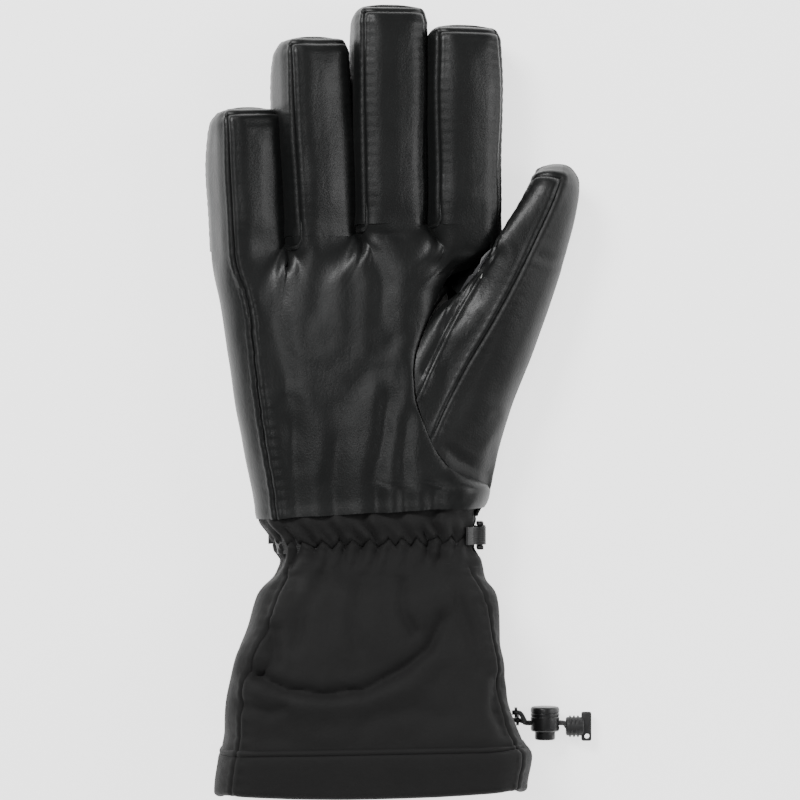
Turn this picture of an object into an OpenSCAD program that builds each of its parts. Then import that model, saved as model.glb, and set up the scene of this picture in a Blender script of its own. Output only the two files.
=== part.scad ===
// Insulated gauntlet ski glove for the right hand, lying on its back with the palm up.
// +X points to the thumb side, +Y to the fingertips and +Z out of the palm. Millimetres.

/* [Hand] */
// Height of the hem edge below the frame's origin, along the glove
hem_y = -164.4; // [-180:0.1:-155]
// Height of the fold between hand and gauntlet
wrist_y = -70; // [-75:0.5:-66]
// Height of the edge where the leather ends and the wrist gather starts
leather_end_y = -50; // [-54:0.5:-46]
// Thickness of the hand at the knuckles, over the back that it lies on
knuckle_t = 30; // [26:0.5:36]
// Thickness of the hand at the middle of the palm
palm_t = 34; // [30:0.5:42]
// Free height under the wrist, where the strap runs
wrist_rise = 4; // [3.5:0.5:6]

/* [Fingers] */
// Thickness of every finger, over the back
finger_t = 28; // [24:0.5:32]
// Corner radius of a finger's cross-section
finger_r = 9; // [6:0.5:11]
// Corner radius of a finger's tip, seen from the palm
tip_r = 11; // [7:0.5:12]
// Free gap between neighbouring fingers
finger_gap = 1; // [0.7:0.1:2]
// Depth of the front and back panels, from the face to the side seam
seam_depth = 6; // [4:0.5:9]
// Width of the little finger
little_w = 28; // [24:0.5:31]
// Width of the ring finger
ring_w = 29; // [25:0.5:32]
// Width of the middle finger
middle_w = 29; // [25:0.5:32]
// Width of the index finger
index_w = 30; // [26:0.5:33]
// Length of the little finger from its crease
little_len = 58.5; // [45:0.5:75]
// Length of the ring finger from its crease
ring_len = 82.5; // [60:0.5:100]
// Length of the middle finger from its crease
middle_len = 91; // [70:0.5:110]
// Length of the index finger from its crease
index_len = 82.5; // [60:0.5:100]

/* [Thumb] */
// Thickness of the thumb
thumb_t = 30; // [26:0.5:33]

/* [Layers] */
// Thickness of the leather
leather_t = 1.2; // [0.8:0.1:1.6]
// Thickness of the insulation with its bonded waterproof film
insulation_t = 2.6; // [1.5:0.1:4]
// Thickness of the fleece lining
lining_t = 1.2; // [0.8:0.1:2]
// Thickness of the gauntlet's woven shell
shell_t = 0.8; // [0.5:0.1:1.2]
// Free gap between two layers
layer_gap = 0.1; // [0.05:0.01:0.2]

/* [Gauntlet] */
// Height of the turned-up hem
hem_h = 18.4; // [12:0.2:24]
// Diameter of the elastic drawcord
cord_d = 2; // [1.6:0.1:2.4]
// Height of the drawcord's casing on the inside of the gauntlet
casing_h = 12; // [10:0.5:16]

/* [Wrist strap] */
// Width of the webbing
strap_w = 8; // [7:0.5:10]
// Thickness of the webbing
strap_t = 1.2; // [0.8:0.1:1.4]
// Length of the ladder lock, along the strap
lock_len = 15; // [13:0.5:18]

/* [Cord lock] */
// Outer diameter of the cord lock's barrel
barrel_d = 12.4; // [11:0.2:15]
// Length of the barrel
barrel_len = 10.6; // [10:0.2:14]
// Outer diameter of the push button
button_d = 8.8; // [8:0.2:9.2]
// Travel of the push button
button_travel = 2.4; // [1.5:0.1:3]
// Radius of the lanyard hole in the cord pull
lanyard_r = 1.1; // [0.8:0.1:1.4]

/* [Hidden] */

black_leather = [0.09, 0.09, 0.10];
black_nylon = [0.14, 0.14, 0.15];
grey_fleece = [0.35, 0.35, 0.37];
white_wadding = [0.8, 0.8, 0.78];
black_webbing = [0.11, 0.11, 0.12];
black_plastic = [0.05, 0.05, 0.06];
steel = [0.7, 0.7, 0.72];

body_gap = 0.5;      // between solids of two bodies
over = 1;            // how far a cutter runs past what it cuts
corner_steps = 5;    // facets in a rounded corner
far = 400;           // larger than the whole glove

// Insets of the layers, from the outer face inwards
leather = [0, leather_t];
insulation = [leather[1] + layer_gap, leather[1] + layer_gap + insulation_t];
lining = [insulation[1] + layer_gap, insulation[1] + layer_gap + lining_t];
shell = [0, shell_t];
cord_room = [shell_t + layer_gap, shell_t + 2 * layer_gap + cord_d + 0.2];
casing = [cord_room[1], cord_room[1] + 0.5];
cuff_fleece = [casing[1] + layer_gap, casing[1] + layer_gap + lining_t];
elastic = [shell_t + layer_gap, shell_t + layer_gap + 0.8];
strap = [-strap_t - 0.2, -0.2];

// Fingers from the little finger to the index: [width, length, crease y, lean in degrees]
fingers = [
    [little_w, little_len, 62, 2.5],
    [ring_w, ring_len, 68, 2.5],
    [middle_w, middle_len, 73, 0.5],
    [index_w, index_len, 73, 0]
];
LITTLE = 0;
RING = 1;
MIDDLE = 2;
INDEX = 3;
fingers_left = -75.5;
function finger_left(i) = i == 0 ? fingers_left : finger_left(i - 1) + fingers[i - 1][0] + finger_gap;
function finger_x(i) = finger_left(i) + fingers[i][0] / 2;
function crease_y(i) = fingers[i][2];
function root_gap(i) = body_gap + fingers[i][0] / 2 * sin(fingers[i][3]);
top_y = crease_y(INDEX);

// Sections of the hand: [y, left, right, bottom, top, corner radius]
hand_sections = [
    [wrist_y + body_gap / 2, -50.5, 34, wrist_rise, 31, 12],
    [leather_end_y - 9, -53, 33, wrist_rise, 31, 12],
    [leather_end_y, -57.5, 34, wrist_rise - 1, 32, 12],
    [-39, -59.5, 39.5, 1, 33, 13],
    [-20, -63.5, 42, 0, palm_t, 14],
    [0, -67, 44, 0, palm_t, 14],
    [30, -71, 44.5, 0, (palm_t + knuckle_t) / 2 + 1, 12],
    [crease_y(LITTLE), -75.5, 44.5, 0, knuckle_t, 10],
    [top_y, -75.5, 44.5, 0, knuckle_t, 10]
];

// Sections of the gauntlet, from the hem to the wrist
cuff_sections = [
    [hem_y, -74.5, 54, 0, 47, 16],
    [hem_y + 14, -73, 56, 0, 48, 16],
    [hem_y + hem_h, -72.3, 53.5, 0, 48, 16],
    [-128, -70, 49.3, 0, 47, 15],
    [-110, -65.5, 47.5, 0, 45, 14],
    [-95, -58.5, 44.5, 1, 41, 13],
    [-82, -54.5, 40.5, 2.5, 37, 12],
    [wrist_y - body_gap / 2, -50.5, 36.5, wrist_rise, 33, 12]
];

// Places around a section, counted in its points: 0 is on the thumb side, below the palm
ring_n = 4 * (corner_steps + 1);
palm_seam = 9;       // palm panel to outer side panel
back_seam = 14;      // outer side panel to back panel
inner_seam = 23;     // back panel to palm panel, on the thumb side

function lerp(a, b, t) = a + (b - a) * t;
function blend(a, b, t) = [for (k = [0 : len(a) - 1]) lerp(a[k], b[k], t)];

// The section of a loft at height y
function section_at(list, y, k = 0) =
    k >= len(list) - 2 || y <= list[k + 1][0]
        ? blend(list[k], list[k + 1], (y - list[k][0]) / (list[k + 1][0] - list[k][0]))
        : section_at(list, y, k + 1);

// The sections of a loft between two heights, with new ones at both ends
function sections_between(list, y0, y1) = concat(
    [section_at(list, y0)],
    [for (s = list) if (s[0] > y0 + 0.01 && s[0] < y1 - 0.01) s],
    [section_at(list, y1)]
);

// Points of a rounded rectangle in X and Z, counterclockwise from its right side
function rounded(x0, x1, z0, z1, r) = [
    for (c = [0 : 3], k = [0 : corner_steps])
        let (a = 90 * (c + k / corner_steps),
             cx = c == 0 || c == 3 ? x1 - r : x0 + r,
             cz = c < 2 ? z1 - r : z0 + r)
        [cx + r * cos(a), cz + r * sin(a)]
];

// Points from one place of a section to another, at an inset
function ring(s, inset, from, to) =
    let (p = rounded(s[1] + inset, s[2] - inset, s[3] + inset, s[4] - inset, s[5] - inset))
    [for (k = [from : to]) let (q = p[k % ring_n]) [q[0], s[0], q[1]]];

// A wall of a lofted tube: the part of it between two places and two insets
module loft_patch(sections, insets, from, to) {
    n = to - from + 1;
    m = len(sections);
    outer = [for (s = sections) each ring(s, insets[0], from, to)];
    inner = [for (s = sections) each ring(s, insets[1], from, to)];
    h = n * m;
    skins = [for (j = [0 : m - 2], k = [0 : n - 2]) let (a = j * n + k, b = a + n)
        each [[a, a + 1, b + 1], [a, b + 1, b], [h + a, h + b + 1, h + a + 1], [h + a, h + b, h + b + 1]]];
    sides = [for (j = [0 : m - 2]) let (a = j * n, b = a + n, c = a + n - 1, d = c + n)
        each [[a, b, h + b], [a, h + b, h + a], [c, h + d, d], [c, h + c, h + d]]];
    ends = [for (k = [0 : n - 2]) let (t = (m - 1) * n + k)
        each [[k, h + k + 1, k + 1], [k, h + k, h + k + 1], [t, t + 1, h + t + 1], [t, h + t + 1, h + t]]];
    polyhedron(concat(outer, inner), concat(skins, sides, ends), convexity = 6);
}

// An inset is one number, or a list with a number for each section
function inset_at(inset, k) = is_list(inset) ? inset[k] : inset;

// A whole ring of a lofted tube's wall
module loft_tube(sections, insets) {
    m = len(sections);
    outer = [for (k = [0 : m - 1]) each ring(sections[k], inset_at(insets[0], k), 0, ring_n - 1)];
    inner = [for (k = [0 : m - 1]) each ring(sections[k], inset_at(insets[1], k), 0, ring_n - 1)];
    h = ring_n * m;
    skins = [for (j = [0 : m - 2], k = [0 : ring_n - 1])
        let (a = j * ring_n + k, a1 = j * ring_n + (k + 1) % ring_n, b = a + ring_n, b1 = a1 + ring_n)
        each [[a, a1, b1], [a, b1, b], [h + a, h + b1, h + a1], [h + a, h + b, h + b1]]];
    ends = [for (k = [0 : ring_n - 1]) let (k1 = (k + 1) % ring_n, t = (m - 1) * ring_n)
        each [[k, h + k1, k1], [k, h + k, h + k1], [t + k, t + k1, h + t + k1], [t + k, h + t + k1, h + t + k]]];
    polyhedron(concat(outer, inner), concat(skins, ends), convexity = 8);
}

/* Thumb outline, seen from the palm: the fold line from heel to web, then around the thumb */
heel = [36.5, -30];
web = [25.5, 46];
web_top = [45.8, 68];
fold_dir = (web - heel) / norm(web - heel);
fold_left = [-fold_dir[1], fold_dir[0]];
thumb_outline = [
    heel, [42.5, -22], [49, -3], [57, 15.5], [66, 41], [74.5, 70], [77, 84],
    [76, 92], [72, 96.5], [66, 97.5], [61, 94.5], [53, 81], web_top, web
];

// What the hand gives up for the thumb and for the lower creases of the ring and little fingers
module hand_cutter() {
    gap = fold_left * body_gap;
    translate([0, 0, -over])
        linear_extrude(palm_t + 2 * over)
            polygon([heel + gap, web + gap, web_top + [-body_gap, body_gap], [far, web_top[1]], [far, heel[1] - 0.3],
                     heel + gap + [0, -0.3]]);
    for (i = [LITTLE, RING])
        translate([i == LITTLE ? -far : finger_left(i) - finger_gap / 2, crease_y(i), -over])
            cube([i == LITTLE ? far + finger_left(RING) - finger_gap / 2 : fingers[i][0] + finger_gap,
                  far, palm_t + 2 * over]);
}

function hand_between(y0, y1) = sections_between(hand_sections, y0, y1);
function cuff_between(y0, y1) = sections_between(cuff_sections, y0, y1);

// The sewn-in gore of the palm that the thumb grows out of, seen from the palm
module thenar_area(grow = 0) {
    edge = [[39.3, -38.9], [30, -35], [23.3, -30], [16, -21], [10, -7], [7.3, 9], [10, 24], [16, 37], [22, 46]];
    translate([-grow, 0, -over])
        linear_extrude(palm_t + 2 * over)
            polygon(concat(edge, [[24, 60], [far, 60], [far, -38.9]]));
}

module hand_panel(y0, y1, insets, from, to) {
    difference() {
        loft_patch(hand_between(y0, y1), insets, from, to);
        hand_cutter();
    }
}

module palm_panel() {
    color(black_leather)
        difference() {
            hand_panel(leather_end_y, top_y, leather, inner_seam, ring_n + palm_seam);
            thenar_area(layer_gap);
        }
}

module thenar_panel() {
    color(black_leather)
        intersection() {
            hand_panel(leather_end_y, top_y, leather, inner_seam, ring_n + palm_seam);
            thenar_area();
        }
}

module outer_side_panel() {
    color(black_leather)
        hand_panel(leather_end_y, top_y, leather, palm_seam, back_seam);
}

module back_panel() {
    color(black_leather)
        hand_panel(leather_end_y, top_y, leather, back_seam, inner_seam);
}

// It is thinner where the elastic runs
module hand_insulation() {
    from = elastic_y[0] - 0.3;
    to = elastic_y[1] + 0.3;
    sections = concat(
        hand_between(wrist_y + body_gap / 2, from - 0.2),
        hand_between(from, to),
        hand_between(to + 0.2, top_y)
    );
    outer = [for (s = sections) s[0] >= from && s[0] <= to ? elastic[1] + layer_gap : insulation[0]];
    color(white_wadding)
        difference() {
            loft_tube(sections, [outer, insulation[1]]);
            hand_cutter();
        }
}

module hand_lining() {
    color(grey_fleece)
        difference() {
            loft_tube(hand_between(wrist_y + body_gap / 2, top_y), lining);
            hand_cutter();
        }
}

// Raised roll along the seam round the thenar gore
module thumb_seam_welt() {
    color(black_leather)
        tube([for (p = [[31, -36.5], [23.3, -31], [15.4, -21.5], [9.2, -7.3], [6.4, 9], [9.1, 24.3], [15.2, 37.5]])
             [p[0], p[1], section_at(hand_sections, p[1])[4] + 1.25]], 1, [0, 0, 1]);
}

/* Wrist */
elastic_y = [wrist_y + 4, leather_end_y - 4];

module wrist_gather() {
    color(black_nylon)
        hand_panel(wrist_y + body_gap / 2, leather_end_y - layer_gap, shell, inner_seam, ring_n + palm_seam);
}

module wrist_back_panel() {
    color(black_nylon)
        hand_panel(wrist_y + body_gap / 2, leather_end_y - layer_gap, shell, palm_seam, inner_seam);
}

module wrist_elastic() {
    color(black_webbing)
        loft_tube(hand_between(elastic_y[0], elastic_y[1]), elastic);
}

lock_y = leather_end_y - 8.4;   // middle of the ladder lock, along the glove
lock_w = strap_w + 4;
bar_r = 1.1;
tab_bar = [36.2, 21];           // X and Z of the bar that the lock turns on
cinch_bar = [36.2, 14.5];
lip_bar = [36.2, 21 - lock_len + 3];
strap_y = [lock_y - strap_w / 2, lock_y + strap_w / 2];

module across(length) {
    translate([0, lock_y + length / 2, 0])
        rotate([90, 0, 0])
            linear_extrude(length)
                children();
}

module wrist_strap() {
    color(black_webbing)
        intersection() {
            loft_patch(hand_between(strap_y[0], strap_y[1]), strap, 10, 23);
            union() {
                translate([-far, -far, 0])
                    cube([2 * far, 2 * far, 6.4]);
                translate([-far, -far, 0])
                    cube([far, 2 * far, 16]);
            }
        }
}

// The webbing that is threaded round the cinch bar, with its loose end
module strap_loop() {
    inner = cinch_bar[0] - bar_r - 0.2;
    outer = cinch_bar[0] + bar_r + 0.2;
    top = cinch_bar[1] + bar_r + 0.2;
    color(black_webbing)
        across(strap_w)
            polygon([[inner, 7], [inner, top], [outer, top], [outer, 2], [outer + strap_t, 2],
                     [outer + strap_t, top + strap_t], [inner - strap_t, top + strap_t], [inner - strap_t, 7]]);
}

module buckle_tab() {
    mid = [21, 19];
    reach = 20;
    color(black_webbing)
        difference() {
            union() {
                difference() {
                    across(strap_w - 0.6)
                        intersection() {
                            translate(mid)
                                circle(13.9, $fn = 96);
                            polygon([mid, mid + reach * [cos(6), sin(6)], mid + 1.2 * reach * [cos(40), sin(40)],
                                     mid + reach * [cos(80), sin(80)]]);
                        }
                    across(strap_w + over)
                        translate(mid)
                            circle(12.7, $fn = 96);
                }
                across(strap_w - 0.6)
                    translate(tab_bar)
                        circle(2.5, $fn = 48);
            }
            across(strap_w + over)
                translate(tab_bar)
                    circle(bar_r + 0.3, $fn = 48);
        }
}

module ladder_lock() {
    color(black_plastic) {
        for (side = [-1, 1])
            translate([tab_bar[0] - 1.5, lock_y + side * (strap_w / 2 + 1.1) - 0.9, lip_bar[1] - 1.5])
                cube([3, 1.8, lock_len]);
        for (bar = [tab_bar, cinch_bar, lip_bar])
            across(lock_w - 2)
                translate(bar)
                    circle(bar_r, $fn = 48);
    }
}

/* Fingers, each in its own frame: X across, Y along it from the crease */
module in_finger(i) {
    translate([finger_x(i), crease_y(i), 0])
        rotate([0, 0, fingers[i][3]])
            children();
}

module finger_core(i, inset, y0) {
    a = fingers[i][0] / 2 - inset;
    end = fingers[i][1] - inset;
    r = tip_r - inset;
    section = rounded(-a, a, inset, finger_t - inset, finger_r - inset);
    tip = [for (k = [1 : 5]) [a - r + r * cos(18 * k), end - r + r * sin(18 * k)]];
    intersection() {
        translate([0, end + over, 0])
            rotate([90, 0, 0])
                linear_extrude(end + over - y0 + over)
                    polygon(section);
        translate([0, 0, -over])
            linear_extrude(finger_t + 2 * over)
                polygon(concat([[-a - over, y0], [a + over, y0], [a + over, end - r - 3]], tip,
                               [for (k = [5 : -1 : 1]) [-tip[k - 1][0], tip[k - 1][1]]], [[-a - over, end - r - 3]]));
    }
}

module finger_layer(i, insets, z0, z1) {
    in_finger(i)
        intersection() {
            difference() {
                finger_core(i, insets[0], root_gap(i));
                finger_core(i, insets[1], -over);
            }
            translate([-far / 2, -over, z0])
                cube([far, far, z1 - z0]);
        }
}

module front_panel(i) {
    color(black_leather)
        finger_layer(i, leather, finger_t - seam_depth + layer_gap / 2, finger_t + over);
}

module back_of_finger(i) {
    color(black_leather)
        finger_layer(i, leather, -over, seam_depth - layer_gap / 2);
}

module side_strip(i) {
    color(black_leather)
        finger_layer(i, leather, seam_depth + layer_gap / 2, finger_t - seam_depth - layer_gap / 2);
}

module finger_insulation(i) {
    color(white_wadding)
        finger_layer(i, insulation, -over, finger_t + over);
}

module finger_lining(i) {
    color(grey_fleece)
        finger_layer(i, lining, -over, finger_t + over);
}

module little_front_panel() front_panel(LITTLE);
module little_back_panel() back_of_finger(LITTLE);
module little_side_strip() side_strip(LITTLE);
module little_insulation() finger_insulation(LITTLE);
module little_lining() finger_lining(LITTLE);

module ring_front_panel() front_panel(RING);
module ring_back_panel() back_of_finger(RING);
module ring_side_strip() side_strip(RING);
module ring_insulation() finger_insulation(RING);
module ring_lining() finger_lining(RING);

module middle_front_panel() front_panel(MIDDLE);
module middle_back_panel() back_of_finger(MIDDLE);
module middle_side_strip() side_strip(MIDDLE);
module middle_insulation() finger_insulation(MIDDLE);
module middle_lining() finger_lining(MIDDLE);

module index_front_panel() front_panel(INDEX);
module index_back_panel() back_of_finger(INDEX);
module index_side_strip() side_strip(INDEX);
module index_insulation() finger_insulation(INDEX);
module index_lining() finger_lining(INDEX);

/* Thumb: the outline is carried past the fold, rounded on its faces, and cut at the fold */
function unit(v) = v / norm(v);

thumb_last = len(thumb_outline) - 1;
thumb_shape = [
    heel + 18 * unit(heel - thumb_outline[1]),
    each [for (k = [1 : thumb_last - 1]) thumb_outline[k]],
    web + 18 * unit(web - web_top)
];

function line_normal(a, b) = let (d = (b - a) / norm(b - a)) [-d[1], d[0]];

// A counterclockwise outline moved inwards by d, corner by corner
function moved_in(p, d) = [
    for (k = [0 : len(p) - 1])
        let (a = p[(k + len(p) - 1) % len(p)], b = p[k], c = p[(k + 1) % len(p)],
             n1 = line_normal(a, b), n2 = line_normal(b, c))
        b + d * (n1 + n2) / (1 + n1 * n2)
];

module thumb_core(inset) {
    levels = [[0, 4.5], [1.4, 2.2], [4, 0.5], [8, 0], [thumb_t - 8, 0], [thumb_t - 4, 0.5], [thumb_t - 1.4, 2.2],
              [thumb_t, 4.5]];
    n = len(thumb_shape);
    m = len(levels);
    points = [for (l = levels, q = moved_in(thumb_shape, l[1] * (1 - inset / 7) + inset))
        [q[0], q[1], lerp(inset, thumb_t - inset, l[0] / thumb_t)]];
    polyhedron(points, concat(
        [[for (k = [0 : n - 1]) k], [for (k = [n - 1 : -1 : 0]) (m - 1) * n + k]],
        [for (j = [0 : m - 2], k = [0 : n - 1]) let (k1 = (k + 1) % n)
            each [[j * n + k, (j + 1) * n + k1, j * n + k1], [j * n + k, (j + 1) * n + k, (j + 1) * n + k1]]]
    ), convexity = 4);
}

module thumb_layer(insets, z0, z1) {
    intersection() {
        difference() {
            thumb_core(insets[0]);
            thumb_core(insets[1]);
        }
        translate([0, 0, z0])
            linear_extrude(z1 - z0)
                polygon([heel - 9 * fold_dir, web + 9 * fold_dir, [web[0], far], [far, far], [far, -60]]);
    }
}

module thumb_front_panel() {
    color(black_leather)
        thumb_layer(leather, thumb_t - seam_depth - 1 + layer_gap / 2, thumb_t + over);
}

module thumb_back_panel() {
    color(black_leather)
        thumb_layer(leather, -over, seam_depth + 1 - layer_gap / 2);
}

module thumb_side_strip() {
    color(black_leather)
        thumb_layer(leather, seam_depth + 1 + layer_gap / 2, thumb_t - seam_depth - 1 - layer_gap / 2);
}

module thumb_insulation() {
    color(white_wadding)
        thumb_layer(insulation, -over, thumb_t + over);
}

module thumb_lining() {
    color(grey_fleece)
        thumb_layer(lining, -over, thumb_t + over);
}

/* Gauntlet */
hem_top = hem_y + hem_h;
shell_top = wrist_y - body_gap / 2;
eyelets = [[-134.2, 9.6], [-137.8, 5.4]];    // Y and Z

module eyelet_holes(r) {
    for (e = eyelets)
        translate([section_at(cuff_sections, e[0])[2] - 8, e[0], e[1]])
            rotate([0, 90, 0])
                cylinder(h = 16, r = r, $fn = 32);
}

module cuff_palm_panel() {
    color(black_nylon)
        loft_patch(cuff_between(hem_top, shell_top), shell, inner_seam + 2, ring_n + palm_seam);
}

module cuff_back_panel() {
    color(black_nylon)
        loft_patch(cuff_between(hem_top, shell_top), shell, back_seam, inner_seam - 3);
}

module cuff_outer_gusset() {
    color(black_nylon)
        loft_patch(cuff_between(hem_top, shell_top), shell, palm_seam, back_seam);
}

module cuff_inner_gusset() {
    color(black_nylon)
        difference() {
            loft_patch(cuff_between(hem_top, shell_top), shell, inner_seam - 3, inner_seam + 2);
            eyelet_holes(cord_d / 2 + 0.5);
        }
}

module cuff_lining() {
    color(grey_fleece)
        loft_tube(cuff_between(hem_y + 1.2, shell_top), cuff_fleece);
}

// Turned up at the hem, with its lower edge folded in to the lining
module hem_band() {
    hem_t = 1.4;
    fold = cuff_fleece[0] + 0.4;
    sections = concat(cuff_between(hem_y, hem_y + 0.8), cuff_between(hem_y + 1, hem_top - layer_gap));
    color(black_nylon)
        loft_tube(sections, [0, [for (s = sections) s[0] < hem_y + 1 ? fold : hem_t]]);
}

casing_y = hem_top + 12;

module drawcord_casing() {
    color(black_nylon)
        loft_tube(cuff_between(casing_y - casing_h / 2, casing_y + casing_h / 2), casing);
}

module drawcord_hem_run() {
    run = ring(section_at(cuff_sections, casing_y), (cord_room[0] + cord_room[1]) / 2, 0, ring_n - 1);
    color(black_webbing)
        tube(run, cord_d / 2, [0, 1, 0], true);
}

module cord_eyelets() {
    color(black_plastic)
        for (e = eyelets)
            translate([section_at(cuff_sections, e[0])[2] + 0.3, e[0], e[1]])
                rotate([0, 90, 0])
                    difference() {
                        cylinder(h = 1.2, r = 2.3, $fn = 48);
                        translate([0, 0, -over])
                            cylinder(h = 1.2 + 2 * over, r = cord_d / 2 + 0.2, $fn = 48);
                    }
}

/* Free ends of the drawcord, the cord lock and the cord pull */
strand_y = -138.9;
strand_z = [4.6, 6.8];
lock_z = barrel_d / 2;
barrel_x = 64.2;
barrel_y = -131.9;
bore_r = button_d / 2 + 0.3;
button_y = barrel_y - 4.6;
pull_x = 73.2;
upper_route = [[50, -134.2, 9.6], [53, -134.2, 9.6], [54.2, -135.4, 9], [55.4, -137.6, 7.8], [56.6, -138.9, 6.8],
               [71.6, -138.9, 6.8], [73.2, -139.2, 5.6], [75, -139.8, 5.2], [78, -139.9, 5.2]];
lower_route = [[50, -137.8, 5.4], [53, -137.8, 5.4], [54.2, -138.1, 5.2], [55.4, -138.6, 4.8], [56.6, -138.9, 4.6],
               [71.6, -138.9, 4.6], [73.2, -140.4, 3.4], [75, -141.1, 3], [78, -141.2, 3]];

// A plain round tube of eight sides along a route
module tube(route, r, ref, closed = false) {
    n = len(route);
    points = [for (k = [0 : n - 1])
        let (a = closed ? route[(k + n - 1) % n] : route[max(k - 1, 0)],
             b = closed ? route[(k + 1) % n] : route[min(k + 1, n - 1)],
             s = unit(cross(unit(b - a), ref)), u = cross(s, unit(b - a)))
        each [for (q = [0 : 7]) route[k] + r * (s * cos(45 * q) + u * sin(45 * q))]];
    walls = [for (k = [0 : closed ? n - 1 : n - 2], q = [0 : 7])
        let (j = (k + 1) % n, q1 = (q + 1) % 8)
        each [[k * 8 + q, k * 8 + q1, j * 8 + q1], [k * 8 + q, j * 8 + q1, j * 8 + q]]];
    caps = closed ? [] : [[for (q = [7 : -1 : 0]) q], [for (q = [0 : 7]) (n - 1) * 8 + q]];
    polyhedron(points, concat(walls, caps), convexity = 4);
}

module drawcord_upper_strand() {
    color(black_webbing)
        tube(upper_route, cord_d / 2, [0, 0, 1]);
}

module drawcord_lower_strand() {
    color(black_webbing)
        tube(lower_route, cord_d / 2, [0, 0, 1]);
}

module strand_slot(travel) {
    r = cord_d / 2 + 0.2;
    length = 2 * barrel_d;
    x = barrel_x - barrel_d;
    for (y = [strand_y - travel, strand_y], z = strand_z)
        translate([x, y, z])
            rotate([0, 90, 0])
                cylinder(h = length, r = r, $fn = 32);
    translate([x, strand_y - travel - r, strand_z[0]])
        cube([length, travel + 2 * r, strand_z[1] - strand_z[0]]);
    translate([x, strand_y - travel, strand_z[0] - r])
        cube([length, travel, strand_z[1] - strand_z[0] + 2 * r]);
}

module along_lock(y0, length, r) {
    translate([barrel_x, y0, lock_z])
        rotate([90, 0, 0])
            cylinder(h = length, r = r, $fn = 96);
}

module cord_lock_barrel() {
    color(black_plastic)
        difference() {
            along_lock(barrel_y, barrel_len, barrel_d / 2);
            along_lock(barrel_y - 1, barrel_len, bore_r);
            strand_slot(0.4);
        }
}

module cord_lock_button() {
    color(black_plastic)
        difference() {
            along_lock(button_y, 9.6, button_d / 2);
            strand_slot(button_travel + 0.4);
        }
}

module cord_lock_spring() {
    turns = 3;
    steps = 8 * turns;
    color(steel)
        tube([for (k = [0 : steps]) [barrel_x + 2.8 * cos(45 * k), barrel_y - 1.5 - 2.5 * k / steps,
             lock_z + 2.8 * sin(45 * k)]], 0.3, [0, 1, 0]);
}

module cord_pull() {
    mid = [-140.5, 4.1];
    color(black_plastic)
        difference() {
            union() {
                translate([pull_x, mid[0], mid[1]])
                    rotate([0, 90, 0])
                        cylinder(h = 7.6, r = 4.1, $fn = 96);
                translate([pull_x + 7, mid[0] - 6.3, mid[1] - 1.5])
                    cube([4, 12.6, 3]);
            }
            translate([pull_x - over, mid[0] - 2.2, mid[1] - 2.3])
                cube([6.2, 4.4, 5]);
            translate([pull_x + 9, mid[0] - 4.2, mid[1] - 1.5 - over])
                cylinder(h = 3 + 2 * over, r = lanyard_r, $fn = 48);
        }
}

palm_panel();
thenar_panel();
back_panel();
outer_side_panel();
hand_insulation();
hand_lining();
thumb_seam_welt();
wrist_gather();
wrist_back_panel();
wrist_elastic();
wrist_strap();
strap_loop();
buckle_tab();
ladder_lock();
little_front_panel();
little_back_panel();
little_side_strip();
little_insulation();
little_lining();
ring_front_panel();
ring_back_panel();
ring_side_strip();
ring_insulation();
ring_lining();
middle_front_panel();
middle_back_panel();
middle_side_strip();
middle_insulation();
middle_lining();
index_front_panel();
index_back_panel();
index_side_strip();
index_insulation();
index_lining();
thumb_front_panel();
thumb_back_panel();
thumb_side_strip();
thumb_insulation();
thumb_lining();
cuff_palm_panel();
cuff_back_panel();
cuff_inner_gusset();
cuff_outer_gusset();
cuff_lining();
hem_band();
drawcord_casing();
drawcord_hem_run();
cord_eyelets();
drawcord_upper_strand();
drawcord_lower_strand();
cord_pull();
cord_lock_barrel();
cord_lock_button();
cord_lock_spring();
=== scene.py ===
"""Insulated gauntlet ski glove for the right hand, lying on its back with the palm up.

Every shape is worked out in millimetres on grids of points, one grid for each finger, for the two
faces of the hand, for the two faces of the thumb and for the gauntlet. Sewn panels are cut out of
those grids along their seams, thickened, and dressed with procedural finishes.
"""

from __future__ import annotations

import logging
import math
from dataclasses import dataclass, field
from enum import Enum
from typing import Any, Callable, Iterable, Sequence

import bmesh
import bpy
import numpy as np
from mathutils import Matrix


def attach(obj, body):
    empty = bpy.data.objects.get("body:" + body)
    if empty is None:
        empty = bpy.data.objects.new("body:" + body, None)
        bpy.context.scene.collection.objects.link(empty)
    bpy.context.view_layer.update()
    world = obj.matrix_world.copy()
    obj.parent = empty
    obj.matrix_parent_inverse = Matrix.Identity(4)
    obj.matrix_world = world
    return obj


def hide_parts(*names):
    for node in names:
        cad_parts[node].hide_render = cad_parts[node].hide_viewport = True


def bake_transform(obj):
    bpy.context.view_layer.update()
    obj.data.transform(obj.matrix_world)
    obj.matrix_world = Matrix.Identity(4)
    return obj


LOG = logging.getLogger("ski_glove")
MM = 0.001
Array = np.ndarray

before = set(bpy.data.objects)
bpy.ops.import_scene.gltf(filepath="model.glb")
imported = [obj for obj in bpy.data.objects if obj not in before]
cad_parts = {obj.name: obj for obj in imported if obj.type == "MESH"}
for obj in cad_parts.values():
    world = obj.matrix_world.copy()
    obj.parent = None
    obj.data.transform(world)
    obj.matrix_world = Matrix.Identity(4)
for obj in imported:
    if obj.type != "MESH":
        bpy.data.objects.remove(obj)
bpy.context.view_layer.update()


# ---------------------------------------------------------------- numbers and fields


def smooth_step(low: float, high: float, value: Array | float) -> Array:
    """Rise smoothly from 0 at low to 1 at high.

    Args:
        low: Where the rise starts.
        high: Where it ends; it may be below low, for a fall.
        value: The numbers to map.

    Returns:
        Numbers from 0 to 1.
    """
    t = np.clip((np.asarray(value, dtype=float) - low) / (high - low), 0.0, 1.0)
    return t * t * (3.0 - 2.0 * t)


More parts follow.
